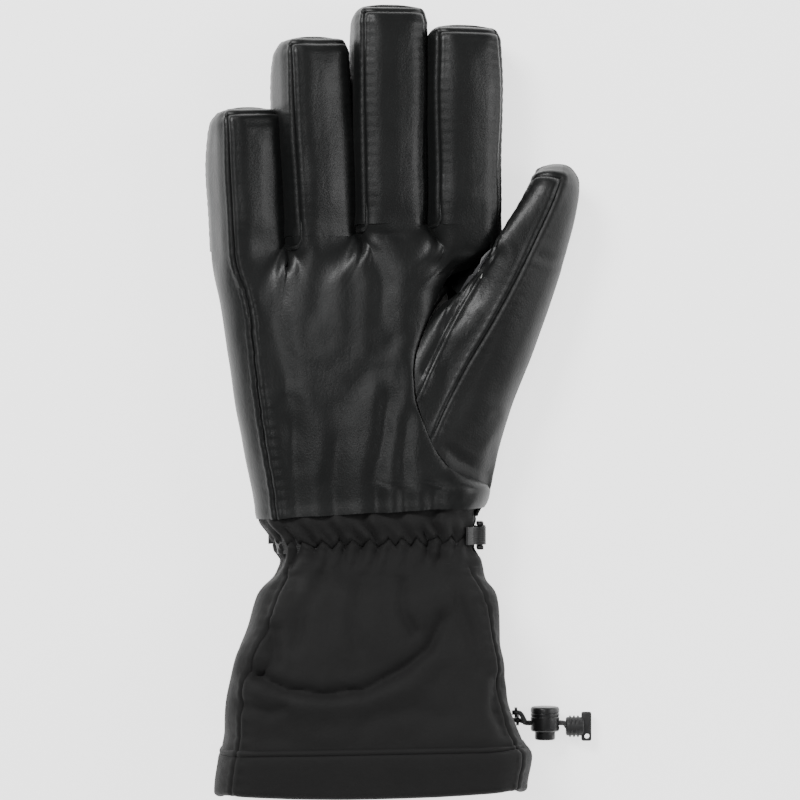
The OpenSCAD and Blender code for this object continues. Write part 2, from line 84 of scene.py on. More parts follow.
def bell(distance: Array, width: float) -> Array:
    """Give 1 at distance 0, falling off smoothly over width."""
    return np.exp(-((distance / width) ** 2))


def curve_through(knots: Sequence[tuple[float, float]]) -> Callable[[Array | float], Array]:
    """Make a smooth monotone function through some points.

    Args:
        knots: Pairs of position and value, in rising order of position.

    Returns:
        A function from positions to values.
    """
    xs = np.array([k[0] for k in knots], dtype=float)
    ys = np.array([k[1] for k in knots], dtype=float)
    steps = np.diff(ys) / np.diff(xs)
    slopes = np.zeros_like(ys)
    for k in range(1, len(xs) - 1):
        if steps[k - 1] * steps[k] > 0:
            slopes[k] = 2.0 / (1.0 / steps[k - 1] + 1.0 / steps[k])
    slopes[0], slopes[-1] = steps[0], steps[-1]

    def value(at: Array | float) -> Array:
        at = np.clip(np.asarray(at, dtype=float), xs[0], xs[-1])
        k = np.clip(np.searchsorted(xs, at, side="right") - 1, 0, len(xs) - 2)
        span = xs[k + 1] - xs[k]
        t = (at - xs[k]) / span
        return (
            ys[k] * (1 + 2 * t) * (1 - t) ** 2
            + slopes[k] * span * t * (1 - t) ** 2
            + ys[k + 1] * t * t * (3 - 2 * t)
            + slopes[k + 1] * span * t * t * (t - 1)
        )

    return value


class SoftNoise:
    """Smooth lattice noise with values from -1 to 1."""

    SIZE = 32

    def __init__(self, seed: int) -> None:
        """Fill the lattice from a seed."""
        self.table = np.random.default_rng(seed).uniform(-1.0, 1.0, (self.SIZE,) * 3)

    def __call__(self, points: Array, wave: float | tuple[float, float, float]) -> Array:
        """Read the noise.

        Args:
            points: Points in millimetres, with X, Y and Z on the last axis.
            wave: Size of a bump in millimetres, one number or one for each axis.

        Returns:
            One number for each point.
        """
        scaled = points / np.asarray(wave, dtype=float)
        base = np.floor(scaled).astype(int)
        t = scaled - base
        t = t * t * (3.0 - 2.0 * t)
        total = np.zeros(points.shape[:-1])
        for corner in range(8):
            bits = [(corner >> axis) & 1 for axis in range(3)]
            weight = np.ones(points.shape[:-1])
            for axis, bit in enumerate(bits):
                weight = weight * (t[..., axis] if bit else 1.0 - t[..., axis])
            cell = [(base[..., axis] + bits[axis]) % self.SIZE for axis in range(3)]
            total += weight * self.table[cell[0], cell[1], cell[2]]
        return total


NOISE = SoftNoise(7)


def seam_profile(distance: Array, ridge: float = 0.72, groove: float = 1.3) -> Array:
    """Height of two turned edges that meet in a sewn groove.

    Args:
        distance: Distance from the seam in millimetres.
        ridge: Height of the roll beside the groove.
        groove: Depth of the groove.

    Returns:
        Height along the surface's normal, in millimetres.
    """
    return ridge * bell(distance - 1.35, 0.72) + 0.3 * ridge * bell(distance - 2.6, 1.3) - groove * bell(distance, 0.55)


def path_distance(x: Array, y: Array, path: Sequence[tuple[float, float]]) -> Array:
    """Distance in plan from each point to a path of straight runs."""
    best = np.full(np.shape(x), 1e9)
    for (ax, ay), (bx, by) in zip(path[:-1], path[1:]):
        dx, dy = bx - ax, by - ay
        t = np.clip(((x - ax) * dx + (y - ay) * dy) / (dx * dx + dy * dy), 0.0, 1.0)
        best = np.minimum(best, np.hypot(x - ax - t * dx, y - ay - t * dy))
    return best


def grid_normals(points: Array, closed: bool, outward: Array) -> Array:
    """Unit normals of a grid of points.

    Args:
        points: Grid of points, columns by rows by 3.
        closed: Whether the last column meets the first.
        outward: A rough outward direction at each point, which sets the sign.

    Returns:
        Normals of the same shape.
    """
    if closed:
        across = np.roll(points, -1, axis=0) - np.roll(points, 1, axis=0)
    else:
        across = np.gradient(points, axis=0)
    along = np.gradient(points, axis=1)
    normal = np.cross(across, along)
    normal /= np.maximum(np.linalg.norm(normal, axis=-1, keepdims=True), 1e-9)
    if float(np.sum(normal * outward)) < 0:
        normal = -normal
    return normal


# ---------------------------------------------------------------- meshes


@dataclass
class Patch:
    """A grid of points and the cells of it that one piece takes."""

    points: Array
    cells: Array
    closed: bool = False
    flip: bool = False


def select_only(piece: bpy.types.Object) -> None:
    """Deselect everything, then select one object and make it active."""
    bpy.ops.object.select_all(action="DESELECT")
    piece.select_set(True)
    bpy.context.view_layer.objects.active = piece


def finish_mesh(piece: bpy.types.Object, angle: float | None = None) -> None:
    """Shade a piece smoothly, apart from edges sharper than an angle in degrees."""
    select_only(piece)
    bpy.ops.object.shade_smooth()
    if angle is not None:
        bpy.ops.object.shade_smooth_by_angle(angle=math.radians(angle))


def apply_all(piece: bpy.types.Object) -> None:
    """Apply every modifier of a piece in order."""
    select_only(piece)
    for modifier in list(piece.modifiers):
        bpy.ops.object.modifier_apply(modifier=modifier.name)


def sewn_piece(name: str, patches: Iterable[Patch], thickness: float, weld: float = 0.02) -> bpy.types.Object:
    """Build a panel from patches of grids, weld it and give it its thickness inwards.

    Args:
        name: Name of the piece.
        patches: The patches, whose shared borders are welded.
        thickness: Thickness of the material in millimetres.
        weld: Distance within which points are welded, in millimetres.

    Returns:
        The finished object, with a UV map in metres along the grid.
    """
    mesh = bpy.data.meshes.new(name)
    build = bmesh.new()
    layer = build.loops.layers.uv.new("cloth")
    for patch in patches:
        cols = len(patch.points)
        step_u = np.linalg.norm(np.diff(patch.points, axis=0), axis=-1).mean(axis=1)
        step_v = np.linalg.norm(np.diff(patch.points, axis=1), axis=-1).mean(axis=0)
        us = np.concatenate([[0.0], np.cumsum(step_u)])
        if patch.closed:
            wrap = np.linalg.norm(patch.points[0] - patch.points[-1], axis=-1).mean()
            us = np.append(us, us[-1] + wrap)
        vs = np.concatenate([[0.0], np.cumsum(step_v)])
        made: dict[tuple[int, int], bmesh.types.BMVert] = {}

        def vert(i: int, j: int) -> bmesh.types.BMVert:
            key = (i % cols, j)
            if key not in made:
                made[key] = build.verts.new(patch.points[key] * MM)
            return made[key]

        for i, j in zip(*np.nonzero(patch.cells)):
            i, j = int(i), int(j)
            corners = [(i, j), (i + 1, j), (i + 1, j + 1), (i, j + 1)]
            if patch.flip:
                corners.reverse()
            verts = [vert(*c) for c in corners]
            if len(set(verts)) < 4:
                continue
            face = build.faces.new(verts)
            for loop, corner in zip(face.loops, corners):
                loop[layer].uv = (us[corner[0]] * MM, vs[corner[1]] * MM)
    bmesh.ops.remove_doubles(build, verts=build.verts, dist=weld * MM)
    bmesh.ops.dissolve_degenerate(build, edges=build.edges, dist=1e-6)
    build.to_mesh(mesh)
    build.free()
    piece = bpy.data.objects.new(name, mesh)
    bpy.context.collection.objects.link(piece)
    if thickness > 0:
        wall = piece.modifiers.new("wall", "SOLIDIFY")
        wall.thickness = thickness * MM
        wall.offset = -1.0
        apply_all(piece)
    finish_mesh(piece, 50.0)
    return piece


def all_cells(points: Array, closed: bool) -> Array:
    """A mask that takes every cell of a grid."""
    return np.ones((points.shape[0] - (0 if closed else 1), points.shape[1] - 1), dtype=bool)


def tube_piece(name: str, route: Array, radius: float, sides: int = 12) -> bpy.types.Object:
    """Build a round tube along a route, closed at both ends, with a UV map along it.

    Args:
        name: Name of the piece.
        route: Points in millimetres.
        radius: Radius in millimetres.
        sides: Number of sides of the tube.

    Returns:
        The finished object.
    """
    tangent = np.gradient(route, axis=0)
    tangent /= np.linalg.norm(tangent, axis=1, keepdims=True)
    side = np.cross(tangent, (0.0, 0.0, 1.0))
    side /= np.maximum(np.linalg.norm(side, axis=1, keepdims=True), 1e-9)
    up = np.cross(side, tangent)
    angle = np.linspace(0, 2 * math.pi, sides, endpoint=False)
    ring = side[None] * np.cos(angle)[:, None, None] + up[None] * np.sin(angle)[:, None, None]
    points = route[None] + radius * ring
    caps = [points.mean(axis=0, keepdims=True)[:, [0]], points.mean(axis=0, keepdims=True)[:, [-1]]]
    points = np.concatenate([np.repeat(caps[0], sides, 0), points, np.repeat(caps[1], sides, 0)], axis=1)
    piece = sewn_piece(name, [Patch(points, all_cells(points, True), True)], 0.0, 0.001)
    select_only(piece)
    bpy.ops.object.mode_set(mode="EDIT")
    bpy.ops.mesh.select_all(action="SELECT")
    bpy.ops.mesh.normals_make_consistent(inside=False)
    bpy.ops.object.mode_set(mode="OBJECT")
    return piece


def smooth_route(points: Sequence[Sequence[float]], count: int) -> Array:
    """Resample a list of points as one smooth route of evenly spaced points."""
    p = np.array(points, dtype=float)
    p = np.concatenate([[2 * p[0] - p[1]], p, [2 * p[-1] - p[-2]]])
    out = []
    for k in range(1, len(p) - 2):
        t = np.linspace(0, 1, 24, endpoint=False)[:, None]
        a, b, c, d = p[k - 1], p[k], p[k + 1], p[k + 2]
        out.append(0.5 * (2 * b + (c - a) * t + (2 * a - 5 * b + 4 * c - d) * t**2 + (3 * b - a - 3 * c + d) * t**3))
    dense = np.concatenate(out + [p[-2:-1]])
    gaps = np.concatenate([[0.0], np.cumsum(np.linalg.norm(np.diff(dense, axis=0), axis=1))])
    at = np.linspace(0, gaps[-1], count)
    return np.stack([np.interp(at, gaps, dense[:, axis]) for axis in range(3)], axis=1)


# ---------------------------------------------------------------- finishes


class Term:
    """A shader socket with Python arithmetic: an expression adds its Math nodes."""

    def __init__(self, graph: "Graph", socket: bpy.types.NodeSocket) -> None:
        """Wrap a socket of a graph."""
        self.graph = graph
        self.socket = socket

    def _math(self, operation: str, *values: "Term | float") -> "Term":
        """Add a Math node on some values."""
        return self.graph.node("ShaderNodeMath", {"operation": operation}, dict(enumerate(values)))

    def __add__(self, other: "Term | float") -> "Term":
        """Sum."""
        return self._math("ADD", self, other)

    def __radd__(self, other: float) -> "Term":
        """Sum, reflected."""
        return self._math("ADD", other, self)

    def __sub__(self, other: "Term | float") -> "Term":
        """Difference."""
        return self._math("SUBTRACT", self, other)

    def __rsub__(self, other: float) -> "Term":
        """Difference, reflected."""
        return self._math("SUBTRACT", other, self)

    def __mul__(self, other: "Term | float") -> "Term":
        """Product."""
        return self._math("MULTIPLY", self, other)

    def __rmul__(self, other: float) -> "Term":
        """Product, reflected."""
        return self._math("MULTIPLY", other, self)

    def sine(self) -> "Term":
        """Sine of the value."""
        return self._math("SINE", self)

    def clamp(self) -> "Term":
        """Keep the value between 0 and 1."""
        return self._math("MAXIMUM", self._math("MINIMUM", self, 1.0), 0.0)

    def output(self, name: str) -> "Term":
        """Another output of the same node."""
        return Term(self.graph, self.socket.node.outputs[name])


class Graph:
    """The node graph of one material."""

    def __init__(self, name: str) -> None:
        """Start a material with a single Principled shader."""
        self.material = bpy.data.materials.new(name)
        self.material.use_nodes = True
        self.tree = self.material.node_tree
        self.shader = self.tree.nodes["Principled BSDF"]

    def node(self, kind: str, settings: dict[str, Any], values: dict[Any, Any], out: int | str = 0) -> Term:
        """Add a node.

        Args:
            kind: Type of the node.
            settings: Its properties, and "stops" for a ramp: pairs of position and colour.
            values: Values or terms for its inputs, by name or number.
            out: Which output to return.

        Returns:
            The output as a term.
        """
        node = self.tree.nodes.new(kind)
        for key, value in settings.items():
            if key == "stops":
                ramp = node.color_ramp
                while len(ramp.elements) < len(value):
                    ramp.elements.new(0.5)
                for element, (position, colour) in zip(ramp.elements, value):
                    element.position = position
                    element.color = (*colour, 1.0)
            else:
                setattr(node, key, value)
        for key, value in values.items():
            if isinstance(value, Term):
                self.tree.links.new(value.socket, node.inputs[key])
            else:
                node.inputs[key].default_value = value
        return Term(self, node.outputs[out])

    def place(self, uv: bool = False) -> Term:
        """Object coordinates in metres, or the piece's own UV map."""
        return self.node("ShaderNodeTexCoord", {}, {}, "UV" if uv else "Object")

    def scaled(self, vector: Term, scale: tuple[float, float, float]) -> Term:
        """Scale coordinates along each axis."""
        return self.node("ShaderNodeMapping", {}, {"Vector": vector, "Scale": scale})

    def noise(self, vector: Term, scale: float, detail: float = 3.0, roughness: float = 0.55) -> Term:
        """Fractal noise from 0 to 1."""
        values = {"Vector": vector, "Scale": scale, "Detail": detail, "Roughness": roughness}
        return self.node("ShaderNodeTexNoise", {}, values, "Fac")

    def cells(self, vector: Term, scale: float, feature: str = "SMOOTH_F1") -> Term:
        """Distance in a field of cells."""
        return self.node("ShaderNodeTexVoronoi", {"feature": feature}, {"Vector": vector, "Scale": scale}, "Distance")

    def ramp(self, value: Term, stops: Sequence[tuple[float, tuple[float, float, float]]]) -> Term:
        """Colour from a value."""
        return self.node("ShaderNodeValToRGB", {"stops": stops}, {"Fac": value}, "Color")

    def mix(self, factor: Term, first: Any, second: Any) -> Term:
        """Mix two colours, given as terms or as triples."""
        node = self.tree.nodes.new("ShaderNodeMix")
        node.data_type = "RGBA"
        self.tree.links.new(factor.socket, node.inputs[0])
        for socket, colour in ((node.inputs[6], first), (node.inputs[7], second)):
            if isinstance(colour, Term):
                self.tree.links.new(colour.socket, socket)
            else:
                socket.default_value = (*colour, 1.0)
        return Term(self, node.outputs[2])

    def bump(self, height: Term, distance: float, strength: float = 1.0, under: Term | None = None) -> Term:
        """A bump node whose heights are in metres at full scale."""
        values: dict[Any, Any] = {"Height": height, "Distance": distance, "Strength": strength}
        if under is not None:
            values["Normal"] = under
        return self.node("ShaderNodeBump", {}, values, "Normal")

    def set(self, **sockets: Any) -> None:
        """Set or link inputs of the shader, with underscores for spaces."""
        for key, value in sockets.items():
            socket = self.shader.inputs[key.replace("_", " ")]
            if isinstance(value, Term):
                self.tree.links.new(value.socket, socket)
            elif isinstance(value, tuple) and len(value) == 3 and len(getattr(socket, "default_value", ())) == 4:
                socket.default_value = (*value, 1.0)
            else:
                socket.default_value = value


Colour = tuple[float, float, float]


@dataclass(frozen=True)
class Leather:
    """Smooth black leather with a fine grain and soft creases."""

    name: str
    dark: Colour = (0.0022, 0.0026, 0.0026)
    light: Colour = (0.0056, 0.0062, 0.0060)
    roughness: float = 0.36
    grain: float = 0.00006

    def material(self) -> bpy.types.Material:
        """Build the finish."""
        g = Graph(self.name)
        at = g.place()
        mottle = g.noise(at, 38.0, 4.0, 0.6)
        worn = g.noise(at, 120.0, 5.0, 0.65)
        pores = g.cells(at, 1350.0)
        wrinkle = g.cells(g.scaled(at, (1.0, 0.55, 1.0)), 210.0, "DISTANCE_TO_EDGE")
        fold = g.noise(g.scaled(at, (1.0, 0.8, 1.0)), 95.0, 3.0, 0.5)
        tone = (mottle * 0.7 + worn * 0.5 - 0.25).clamp()
        g.set(
            Base_Color=g.ramp(tone, [(0.15, self.dark), (0.85, self.light)]),
            Roughness=(self.roughness - 0.06 + mottle * 0.12 + worn * 0.06 + pores * 0.05).clamp(),
            Specular_IOR_Level=0.34,
            Sheen_Weight=0.02,
            Sheen_Roughness=0.5,
        )
        broad = g.bump(fold, 0.0004, 0.25)
        lines = g.bump((wrinkle * 5.0).clamp(), 0.00004, 0.5, broad)
        g.set(Normal=g.bump(pores * 0.8 + worn * 0.4, self.grain, 1.0, lines))
        return g.material


@dataclass(frozen=True)
class Nylon:
    """Matte plain-woven nylon."""

    name: str
    dark: Colour = (0.0068, 0.0068, 0.0068)
    light: Colour = (0.0135, 0.0133, 0.0133)
    thread: float = 0.00042

    def material(self) -> bpy.types.Material:
        """Build the finish."""
        g = Graph(self.name)
        uv = g.place(uv=True)
        at = g.place()
        split = g.node("ShaderNodeSeparateXYZ", {}, {"Vector": uv}, "X")
        turn = 2 * math.pi / self.thread
        warp = (split * turn).sine()
        weft = (split.output("Y") * turn).sine()
        weave = warp * weft * 0.5 + 0.5
        mottle = g.noise(at, 45.0, 4.0, 0.6)
        slub = g.noise(g.scaled(uv, (1.0, 0.12, 1.0)), 900.0, 3.0, 0.6)
        tone = (weave * 0.35 + mottle * 0.6 + slub * 0.25 - 0.1).clamp()
        g.set(
            Base_Color=g.ramp(tone, [(0.1, self.dark), (0.9, self.light)]),
            Roughness=(0.64 + mottle * 0.12 + slub * 0.08).clamp(),
            Specular_IOR_Level=0.22,
            Sheen_Weight=0.06,
            Sheen_Roughness=0.42,
            Sheen_Tint=(0.75, 0.74, 0.74),
        )
        crumple = g.bump(g.noise(at, 170.0, 5.0, 0.62), 0.0008, 0.5)
        g.set(Normal=g.bump(weave * 0.7 + slub * 0.3, 0.00009, 0.8, crumple))
        return g.material


@dataclass(frozen=True)
class Webbing:
    """Ribbed narrow webbing, with ribs along the piece's own map."""

    name: str
    dark: Colour = (0.005, 0.005, 0.0052)
    light: Colour = (0.016, 0.016, 0.0165)
    rib: float = 0.0009

    def material(self) -> bpy.types.Material:
        """Build the finish."""
        g = Graph(self.name)
        at = g.place()
        split = g.node("ShaderNodeSeparateXYZ", {}, {"Vector": at}, "X")
        ribs = (split.output("Y") * (2 * math.pi / self.rib)).sine() * 0.5 + 0.5
        picks = ((split.output("Z") + split) * (2 * math.pi / (self.rib * 0.7))).sine() * 0.5 + 0.5
        fuzz = g.noise(at, 1500.0, 3.0, 0.6)
        tone = (ribs * 0.5 + picks * 0.3 + fuzz * 0.3 - 0.1).clamp()
        g.set(
            Base_Color=g.ramp(tone, [(0.1, self.dark), (0.9, self.light)]),
            Roughness=(0.62 + fuzz * 0.2).clamp(),
            Sheen_Weight=0.25,
        )
        g.set(Normal=g.bump(ribs * 0.6 + picks * 0.3 + fuzz * 0.2, 0.00022, 0.9))
        return g.material


@dataclass(frozen=True)
class Fleece:
    """Brushed pile, such as the lining, or loose wadding when it is pale."""

    name: str
    dark: Colour = (0.020, 0.020, 0.022)
    light: Colour = (0.062, 0.062, 0.066)

    def material(self) -> bpy.types.Material:
        """Build the finish."""
        g = Graph(self.name)
        at = g.place()
        tuft = g.noise(at, 900.0, 5.0, 0.7)
        clump = g.cells(at, 320.0)
        tone = (tuft * 0.7 + clump * 0.5 - 0.1).clamp()
        g.set(
            Base_Color=g.ramp(tone, [(0.2, self.dark), (0.8, self.light)]),
            Roughness=(0.85 + tuft * 0.12).clamp(),
            Sheen_Weight=0.6,
            Sheen_Roughness=0.5,
        )
        g.set(Normal=g.bump(tuft * 0.6 + clump * 0.5, 0.0007, 0.9))
        return g.material


@dataclass(frozen=True)
class Moulded:
    """Moulded plastic or rubber with fine surface texture and light wear."""

    name: str
    colour: Colour = (0.006, 0.006, 0.0065)
    worn: Colour = (0.02, 0.02, 0.021)
    roughness: float = 0.28
    texture: float = 0.00003

    def material(self) -> bpy.types.Material:
        """Build the finish."""
        g = Graph(self.name)
        at = g.place()
        scuff = g.noise(at, 420.0, 6.0, 0.7)
        fine = g.noise(at, 2600.0, 2.0, 0.5)
        g.set(
            Base_Color=g.mix((scuff * 1.6 - 0.6).clamp(), self.colour, self.worn),
            Roughness=(self.roughness + scuff * 0.14 + fine * 0.05).clamp(),
        )
        g.set(Normal=g.bump(fine + scuff * 0.6, self.texture, 0.8))
        return g.material


@dataclass(frozen=True)
class Braid:
    """Braided sheath of an elastic cord, on the piece's own map."""

    name: str
    dark: Colour = (0.007, 0.007, 0.007)
    light: Colour = (0.028, 0.028, 0.029)
    pitch: float = 0.0011

    def material(self) -> bpy.types.Material:
        """Build the finish."""
        g = Graph(self.name)
        split = g.node("ShaderNodeSeparateXYZ", {}, {"Vector": g.place(uv=True)}, "X")
        turn = 2 * math.pi / self.pitch
        one = ((split + split.output("Y")) * turn).sine()
        two = ((split - split.output("Y")) * turn).sine()
        braid = (one * two * 0.5 + 0.5).clamp()
        fuzz = g.noise(g.place(), 2200.0, 3.0, 0.6)
        g.set(
            Base_Color=g.ramp((braid * 0.8 + fuzz * 0.2).clamp(), [(0.1, self.dark), (0.9, self.light)]),
            Roughness=(0.55 + fuzz * 0.2).clamp(),
            Sheen_Weight=0.2,
        )
        g.set(Normal=g.bump(braid + fuzz * 0.2, 0.00022, 0.9))
        return g.material


@dataclass(frozen=True)
class Steel:
    """Drawn steel wire."""

    name: str

    def material(self) -> bpy.types.Material:
        """Build the finish."""
        g = Graph(self.name)
        drawn = g.noise(g.scaled(g.place(), (1.0, 8.0, 1.0)), 900.0, 3.0, 0.5)
        g.set(Base_Color=(0.56, 0.56, 0.57), Metallic=1.0, Roughness=(0.22 + drawn * 0.16).clamp())
        g.set(Normal=g.bump(drawn, 0.00002, 0.6))
        return g.material


@dataclass(frozen=True)
class Floor:
    """Plain pale studio floor."""

    name: str
    colour: Colour = (0.93, 0.93, 0.93)

    def material(self) -> bpy.types.Material:
        """Build the finish."""
        g = Graph(self.name)
        g.set(Base_Color=self.colour, Roughness=0.9, Specular_IOR_Level=0.1, Emission_Color=(1.0, 1.0, 1.0),
            Emission_Strength=1.8)
        return g.material


class Finish(Enum):
    """The finishes of the glove, by the record's material slots."""

    LEATHER = "black_leather"
    LEATHER_BACK = "black_leather_back"
    NYLON = "black_nylon"
    WEBBING = "black_webbing"
    FLEECE = "grey_fleece"
    WADDING = "white_wadding"
    CORD = "elastic_cord"
    PLASTIC = "black_plastic"
    RUBBER = "black_rubber"
    STEEL = "spring_steel"


class Wardrobe:
    """Builds each finish once and dresses pieces with it."""

    def __init__(self) -> None:
        """Build every finish."""
        self.materials: dict[Finish, bpy.types.Material] = {
            Finish.LEATHER: Leather("leather_palm").material(),
            Finish.LEATHER_BACK: Leather(
                "leather_outer", (0.0028, 0.0031, 0.0031), (0.0066, 0.0070, 0.0068), 0.45, 0.00008
            ).material(),
            Finish.NYLON: Nylon("woven_nylon").material(),
            Finish.WEBBING: Webbing("ribbed_webbing").material(),
            Finish.FLEECE: Fleece("brushed_fleece").material(),
            Finish.WADDING: Fleece("wadding", (0.42, 0.42, 0.40), (0.66, 0.66, 0.64)).material(),
            Finish.CORD: Braid("braided_cord").material(),
            Finish.PLASTIC: Moulded("moulded_plastic").material(),
            Finish.RUBBER: Moulded("moulded_rubber", (0.010, 0.010, 0.0105), (0.024, 0.024, 0.025), 0.46,
                0.00005).material(),
            Finish.STEEL: Steel("drawn_wire").material(),
        }

    def dress(self, piece: bpy.types.Object, finish: Finish) -> None:
        """Give a piece one finish in a single material slot."""
        piece.data.materials.clear()
        piece.data.materials.append(self.materials[finish])

    def dress_node(self, node: str, finish: Finish) -> None:
        """Give a carried-over CAD node a finish in its own slots."""
        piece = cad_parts[node]
        for slot in piece.material_slots:
            slot.material = self.materials[finish]


# ---------------------------------------------------------------- shared shapes of the glove

SIDE_GAPS = (0.0, 0.35, 0.7, 1.1, 1.5, 2.0, 2.7, 3.6, 4.6, 5.8, 7.2, 9.0, 11.0)


def side_fractions(length: float) -> list[float]:
    """Fractions along a panel that crowd together near both of its seams, without the far end."""
    near = [g for g in SIDE_GAPS if g < length / 2 - 0.8]
    return [g / length for g in near] + [0.5] + [1.0 - g / length for g in reversed(near)][:-1]


def crease_line(x: Array | float) -> Array:
    """Y of the line where the fingers leave the palm."""
    return 62.0 + 6.0 * smooth_step(-50, -44, x) + 5.0 * smooth_step(-20, -14, x)


def soft_relief(points: Array) -> Array:
    """Gentle unevenness of a padded surface, in millimetres."""
    broad = NOISE(points, (26.0, 34.0, 26.0)) * 0.55
    fine = NOISE(points + 31.0, (10.0, 14.0, 10.0)) * 0.2
    return broad + fine + NOISE(points + 77.0, (4.5, 6.0, 4.5)) * 0.05


def seam_puckers(distance: Array, along: Array, pitch: float = 4.2, height: float = 0.16) -> Array:
    """Small gathers that stand off a seam."""
    return height * np.sin(2 * math.pi * along / pitch) * np.exp(-(((distance - 2.8) / 2.2) ** 2))


def box_side(side: int, travel: Array, half_w: Array, half_h: Array, radius: Array) -> tuple[Array, Array]:
    """Points on one side of a rounded box, from one corner's middle to the next, clockwise.

    Args:
        side: 0 for left, 1 for front (top), 2 for right, 3 for back (bottom).
        travel: Fraction of the side's length.
        half_w: Half the box's width.
        half_h: Half its height.
        radius: Corner radius.

    Returns:
        The X and Z of the points, from the box's centre.
    """
    across, up = (half_w, half_h) if side % 2 else (half_h, half_w)
    flat = np.maximum(across - radius, 0.0)
    arc = radius * math.pi / 4
    t = travel * (2 * flat + 2 * arc)
    first = np.clip(t, 0, arc) / radius
    last = np.clip(t - arc - 2 * flat, 0, arc) / radius
    middle = np.clip(t - arc, 0, 2 * flat) - flat
    angle = math.radians(135) - first - last
    x = middle + radius * np.cos(angle)
    z = up - radius + radius * np.sin(angle)
    turn = {0: (0.0, 1.0), 1: (1.0, 0.0), 2: (0.0, -1.0), 3: (-1.0, 0.0)}[side]
    return x * turn[0] - z * turn[1], x * turn[1] + z * turn[0]


class Panel(Enum):
    """The panels round a finger. LEFT is the strip that takes both sides and runs over the tip."""

    LEFT = 0
    FRONT = 1
    BACK = 3


@dataclass(frozen=True)
class Finger:
    """One finger stall: a box of four sewn panels that closes over the fingertip."""

    name: str
    centre: float
    width: float
    length: float
    crease: float
    lean: float
    roll: float
    height: float = 26.5
    corner: float = 9.0
    tip: float = 6.5
    fold_angle: float = 40.0
    tip_thinning: float = 6.0

    def columns(self) -> tuple[Array, Array, Array]:
        """Side, fraction and seam distance of each column round the finger."""
        sides, fractions, gaps = [], [], []
        for side in range(4):
            span = (self.width if side % 2 else self.height) - 2 * self.corner + math.pi * self.corner / 2
            for f in side_fractions(span):
                sides.append(side)
                fractions.append(f)
                gaps.append(min(f, 1 - f) * span)
        return np.array(sides), np.array(fractions), np.array(gaps)

    def rows(self) -> tuple[Array, Array, Array]:
        """Fraction along the straight part, tip angle in degrees and cap scale of each row."""
        count = int((self.length - self.tip) / 1.5)
        straight = np.linspace(0, 1, count)
        angles = np.array([7, 14, 20, 25, 29, 32, 34.5, 36.5, 38.3, 40, 41.7, 43.5, 45.5, 48, 51, 55, 61, 70, 80, 90.0])
        caps = np.array([0.8, 0.55, 0.3, 0.02])
        total = count + len(angles) + len(caps)
        fraction, angle, cap = np.ones(total), np.full(total, 0.0), np.ones(total)
        fraction[:count] = straight
        angle[count : count + len(angles)] = angles
        angle[count + len(angles) :] = 90.0
        cap[count + len(angles) :] = caps
        return fraction, angle, cap

    def section(
        self, sides: Array, fractions: Array, inset: Array, cap: Array, slim: Array, thin: Array
    ) -> tuple[Array, Array]:
        """X and Z round the finger for some insets, before it is placed on the hand."""
        xs = np.zeros(np.broadcast(fractions[:, None], inset[None]).shape)
        zs = np.zeros_like(xs)
        half_w = (self.width / 2 - 0.6 * inset - slim) * cap
        half_h = (self.height / 2 - inset - thin) * cap
        radius = np.maximum(np.minimum(self.corner - inset, half_h / np.maximum(cap, 0.01) * 0.9), 0.9) * cap
        for side in range(4):
            mask = sides == side
            x, z = box_side(side, fractions[mask][:, None], half_w[None], half_h[None], radius[None])
            xs[mask], zs[mask] = x, z + 0.8 * thin[None]
        turn = -math.radians(self.roll)
        x = xs * math.cos(turn) - zs * math.sin(turn)
        z = xs * math.sin(turn) + zs * math.cos(turn)
        stand = (self.height / 2 - self.corner) * math.cos(turn) + (self.width / 2 - self.corner) * abs(math.sin(turn))
        return x, z + stand + self.corner + 0.35

    def grid(self) -> tuple[Array, dict[str, Array]]:
        """Points of the stall before any relief.

        Returns:
            The grid, and its fields: seam distance, distance before the tip fold, travel and side.
        """
        sides, fractions, gaps = self.columns()
        straight, angle, cap = self.rows()
        turn = np.radians(angle)
        end_share = 1.0 - 22.0 / self.length
        inset = self.tip * (1 - np.cos(turn))
        slim = 0.5 * smooth_step(end_share, 1.0, straight) - 0.4 * smooth_step(0.25, 0.6, straight)
        remaining = (1 - straight) * (self.length - self.tip) + self.tip * (1 - np.sin(turn))
        near = np.clip(1 - remaining / 24.0, 0, 1)
        thin = self.tip_thinning * (1 - np.sqrt(np.maximum(0.0, 1 - near**2)))
        x, z = self.section(sides, fractions, inset, cap, slim, thin)
        end = self.length - self.tip
        lean = math.radians(self.lean)
        base_x = self.centre + x[:, :1] * math.cos(lean)
        start = (crease_line(base_x) - self.crease - x[:, :1] * math.sin(lean)) / math.cos(lean)
        bulge = 0.7 * (cap < 1) * (1 - cap)
        q = start + straight[None] * (end - start) + self.tip * np.sin(turn)[None] + bulge[None]
        points = np.stack(
            [
                self.centre - math.sin(lean) * q + math.cos(lean) * x,
                self.crease + math.cos(lean) * q + math.sin(lean) * x,
                z,
            ],
            axis=-1,
        )
        before = np.where(angle > 0, (self.fold_angle - angle) * math.pi / 180 * self.tip, (end - q) + 5.6)
        fields = {"gap": gaps[:, None] * np.ones_like(q), "before": before * np.ones_like(q), "travel": q,
            "side": sides}
        return points, fields

    def close_tip(self, surface: Array) -> Array:
        """Put a smooth lid on the fingertip in place of the dressed cap rows."""
        _, _, cap = self.rows()
        rim = int(np.argmax(cap < 1)) - 1
        for row in (rim - 2, rim - 1, rim):
            for _ in range(3):
                line = surface[:, row]
                surface[:, row] = (2 * line + np.roll(line, 1, axis=0) + np.roll(line, -1, axis=0)) / 4
        ring, lean = surface[:, rim], math.radians(self.lean)
        centre = ring.mean(axis=0)
        out = np.array([-math.sin(lean), math.cos(lean), 0.0])
        for row in range(rim + 1, len(cap)):
            share = float(cap[row]) if row < len(cap) - 1 else 0.0
            surface[:, row] = centre + share * (ring - centre) + out * (1.1 * (1 - share**2))
        return surface

